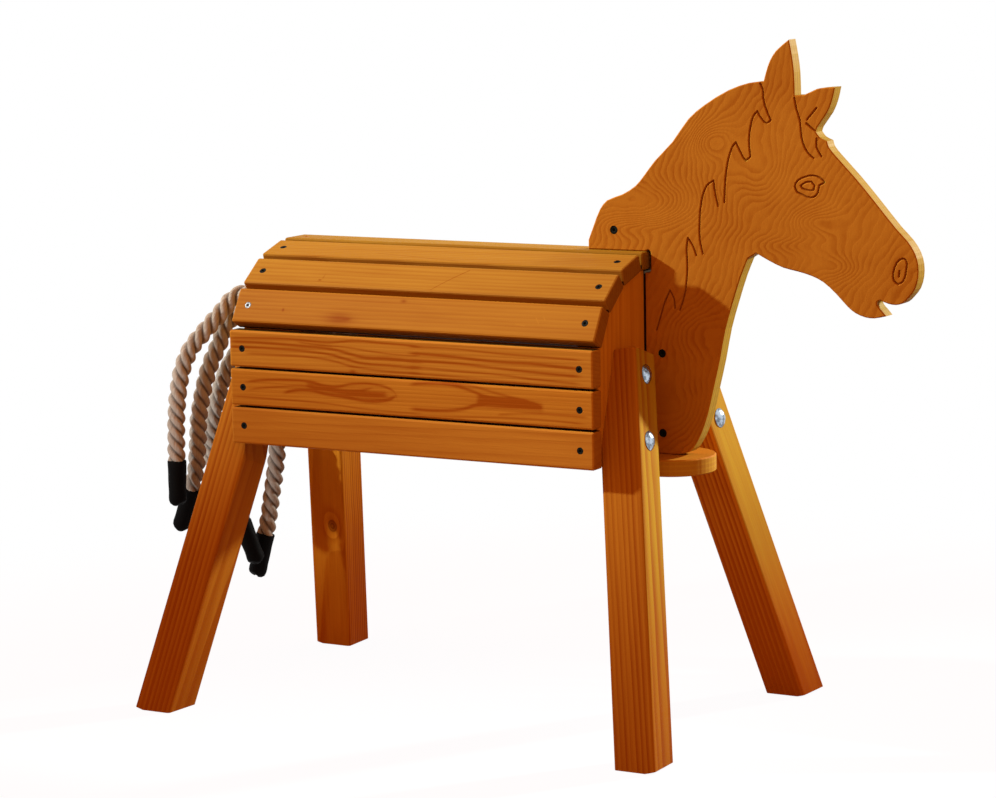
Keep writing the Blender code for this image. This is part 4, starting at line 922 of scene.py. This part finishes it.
def make_tail():
    rope, black = rope_look(), black_look()
    for index, (name, route) in enumerate(ROUTES.items()):
        y, z = HOLES[name]
        mouth = Vector((BODY_X - BULKHEAD_FACE, y, z))
        start = mouth + Vector((BULKHEAD_THICK, 0.0, 0.0))
        lead = mouth - Vector((ROPE_LEAD, 0.0, 0.0))
        knots = [(start + mouth) / 2, lead, *(mouth + Vector(point) for point in route)]
        # The cap takes the place of the last span
        curve = smooth(knots, SPAN_FEW)
        direction = (curve[-1 - SPAN_FEW] - curve[-2 - SPAN_FEW]).normalized()
        fine = smooth(knots, SPAN_MANY)[:-SPAN_MANY]
        path, length = even_steps([start, *fine], PATH_STEP)
        mesh = rope_mesh("rope_" + name, path, ROPE_RADIUS, -ROPE_PITCH, index)
        body = piece("rope_" + name, mesh, rope)
        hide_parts("tail_rope_" + name)
        cap_start = path[-1] - direction * CAP_OVERLAP
        mesh = cap_mesh("cap_" + name, cap_start, direction, CAP_LENGTH + CAP_OVERLAP,
                        ROPE_RADIUS + CAP_WALL, CAP_FLARE[name], index + 3)
        cap = piece("cap_" + name, mesh, black)
        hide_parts("tail_cap_" + name)
        mesh = wall_knot_mesh("knot_" + name, start, KNOT_RADIUS, KNOT_LENGTH)
        knot = piece("knot_" + name, mesh, rope)
        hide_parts("tail_knot_" + name)


# Stage

# Watts for a lamp at one metre that lights a white matt surface facing it to a level of 1
SPOT_WATTS = 4 * math.pi**2
AREA_WATTS = math.pi**2

WHITE = (1.0, 1.0, 1.0)
KEY_COLOUR = (1.0, 1.0, 0.93)
TAIL_COLOUR = (0.88, 0.95, 1.0)
FILL_COLOUR = (1.0, 0.37, 0.14)
FILL_LEVEL = 0.645
BOUNCE_COLOUR = (0.35, 0.24, 0.16)  # the floor's, for light that it throws back at the horse

MIDDLE = Vector((-0.05, 0.0, 0.45))
SPOT_FAR = 3.6  # from the middle
# Each spot's direction from the middle, target, radius, cone in degrees, level and colour
SPOTS = {
    "key": ((-2.9, -1.0, 1.78), (-0.05, 0.0, 0.75), 0.08, 22.0, 1.58, KEY_COLOUR),
    "back": ((0.62, 1.0, 0.42), (0.2, 0.0, 0.60), 0.12, 24.0, 1.85, KEY_COLOUR),
    "tail": ((-1.0, -1.6, 0.35), (-0.60, 0.0, 0.36), 0.12, 7.5, 1.0, TAIL_COLOUR),
}

FLOOR_HALF = 6.0
FLOOR_DROP = 0.0005  # under the soles
FLOOR_MATT = (0.087, 0.087, 0.087)  # what takes the shadow
FLOOR_GLOW = (0.95, 0.955, 0.965)
FLOOR_FADE = (0.7, 1.5)  # from the origin, where it starts to turn plain white and where it is


def aim(name, data, place, target):
    """Adds a lamp at a place that shines at a target."""
    made = bpy.data.objects.new(name, data)
    bpy.context.scene.collection.objects.link(made)
    made.location = place
    made.rotation_mode = "QUATERNION"
    made.rotation_quaternion = (Vector(target) - Vector(place)).to_track_quat("-Z", "Y")


def spot(name, towards, target, radius, cone, level, colour):
    """A soft-edged spot that stands towards a direction from the horse and lights a target there."""
    data = bpy.data.lights.new(name, "SPOT")
    data.energy = SPOT_WATTS * SPOT_FAR**2 * level
    data.shadow_soft_size = radius
    data.spot_size = math.radians(cone)
    data.spot_blend = 1.0
    data.color = colour
    aim(name, data, MIDDLE + Vector(towards).normalized() * SPOT_FAR, target)


def soft_box(name, towards, far, size, level, colour):
    """A round lamp that stands towards a direction from the horse and lights its middle."""
    data = bpy.data.lights.new(name, "AREA")
    data.shape = "DISK"
    data.size = size
    data.energy = AREA_WATTS * far**2 * level
    data.color = colour
    aim(name, data, MIDDLE + Vector(towards).normalized() * far, MIDDLE)


def make_world():
    """White where the camera, gloss or glass looks, and a warm fill for everything else."""
    world = bpy.data.worlds.new("studio")
    bpy.context.scene.world = world
    world.use_nodes = True
    tree = world.node_tree
    tree.nodes.clear()
    path = tree.nodes.new("ShaderNodeLightPath")
    fill = tree.nodes.new("ShaderNodeBackground")
    fill.inputs["Color"].default_value = (*FILL_COLOUR, 1.0)
    fill.inputs["Strength"].default_value = FILL_LEVEL
    white = tree.nodes.new("ShaderNodeBackground")
    white.inputs["Color"].default_value = (*WHITE, 1.0)
    seen = path.outputs["Is Camera Ray"]
    for name in ("Is Glossy Ray", "Is Transmission Ray"):
        either = tree.nodes.new("ShaderNodeMath")
        either.operation = "MAXIMUM"
        tree.links.new(seen, either.inputs[0])
        tree.links.new(path.outputs[name], either.inputs[1])
        seen = either.outputs[0]
    mix = tree.nodes.new("ShaderNodeMixShader")
    tree.links.new(seen, mix.inputs[0])
    tree.links.new(fill.outputs[0], mix.inputs[1])
    tree.links.new(white.outputs[0], mix.inputs[2])
    out = tree.nodes.new("ShaderNodeOutputWorld")
    tree.links.new(mix.outputs[0], out.inputs[0])


def make_floor():
    """A floor that takes the horse's shadow near its feet and is plain white farther out.

    Light that bounces sees a plain matt floor instead, so that it doesn't light the horse as a lamp would.
    """
    bm = bmesh.new()
    bmesh.ops.create_grid(bm, x_segments=1, y_segments=1, size=FLOOR_HALF)
    mesh = bpy.data.meshes.new("floor")
    bm.to_mesh(mesh)
    bm.free()
    floor = bpy.data.objects.new("floor", mesh)
    bpy.context.scene.collection.objects.link(floor)
    floor.location = (0.0, 0.0, -FLOOR_DROP)
    n = Nodes("floor")
    n.tree.nodes.remove(n.shader)
    place = n.node("TexCoord").outputs["Object"]
    out = n.node("VectorMath", {0: place}, operation="LENGTH").outputs["Value"]
    near = n.node("BsdfDiffuse", {"Color": FLOOR_MATT}).outputs[0]
    glow = n.node("Emission", {"Color": FLOOR_GLOW}).outputs[0]
    white = n.node("Emission", {"Color": WHITE}).outputs[0]
    both = n.node("AddShader", {0: near, 1: glow}).outputs[0]
    seen = n.node("MixShader", {0: n.step(out, *FLOOR_FADE), 1: both, 2: white}).outputs[0]
    bounce = n.node("BsdfDiffuse", {"Color": BOUNCE_COLOUR}).outputs[0]
    path = n.node("LightPath").outputs["Is Diffuse Ray"]
    shown = n.node("MixShader", {0: path, 1: seen, 2: bounce}).outputs[0]
    n.tree.links.new(shown, n.tree.nodes["Material Output"].inputs[0])
    n.material.cycles.emission_sampling = "NONE"
    mesh.materials.append(n.material)


def make_stage():
    make_world()
    make_floor()
    for name, settings in SPOTS.items():
        spot(name, *settings)
    soft_box("fill", (1.0, -0.8, 0.5), 3.5, 1.2, 0.065, FILL_COLOUR)
    bpy.context.scene.view_settings.view_transform = "Standard"


def dress_metal():
    zinc = metal("zinc", ZINC, 0.20, worn=0.35)
    for name in NODES:
        if name.startswith(("bolt_", "nut_")):
            paint(name, zinc)
    dark = metal("dark_steel", DARK_STEEL, 0.6, 0.0, shine=0.06)
    bright = metal("worn_steel", WORN_STEEL, 0.45, 0.6)
    stained = metal("stained_steel", STAINED_STEEL, 0.5, 0.0, shine=0.2)
    make_slat_screws(dark, bright, stained)
    make_frame_screws(dark)


def main():
    make_camera()
    make_tail()
    dress_slats()
    dress_legs()
    dress_timber()
    dress_plywood()
    dress_metal()
    make_stage()


main()
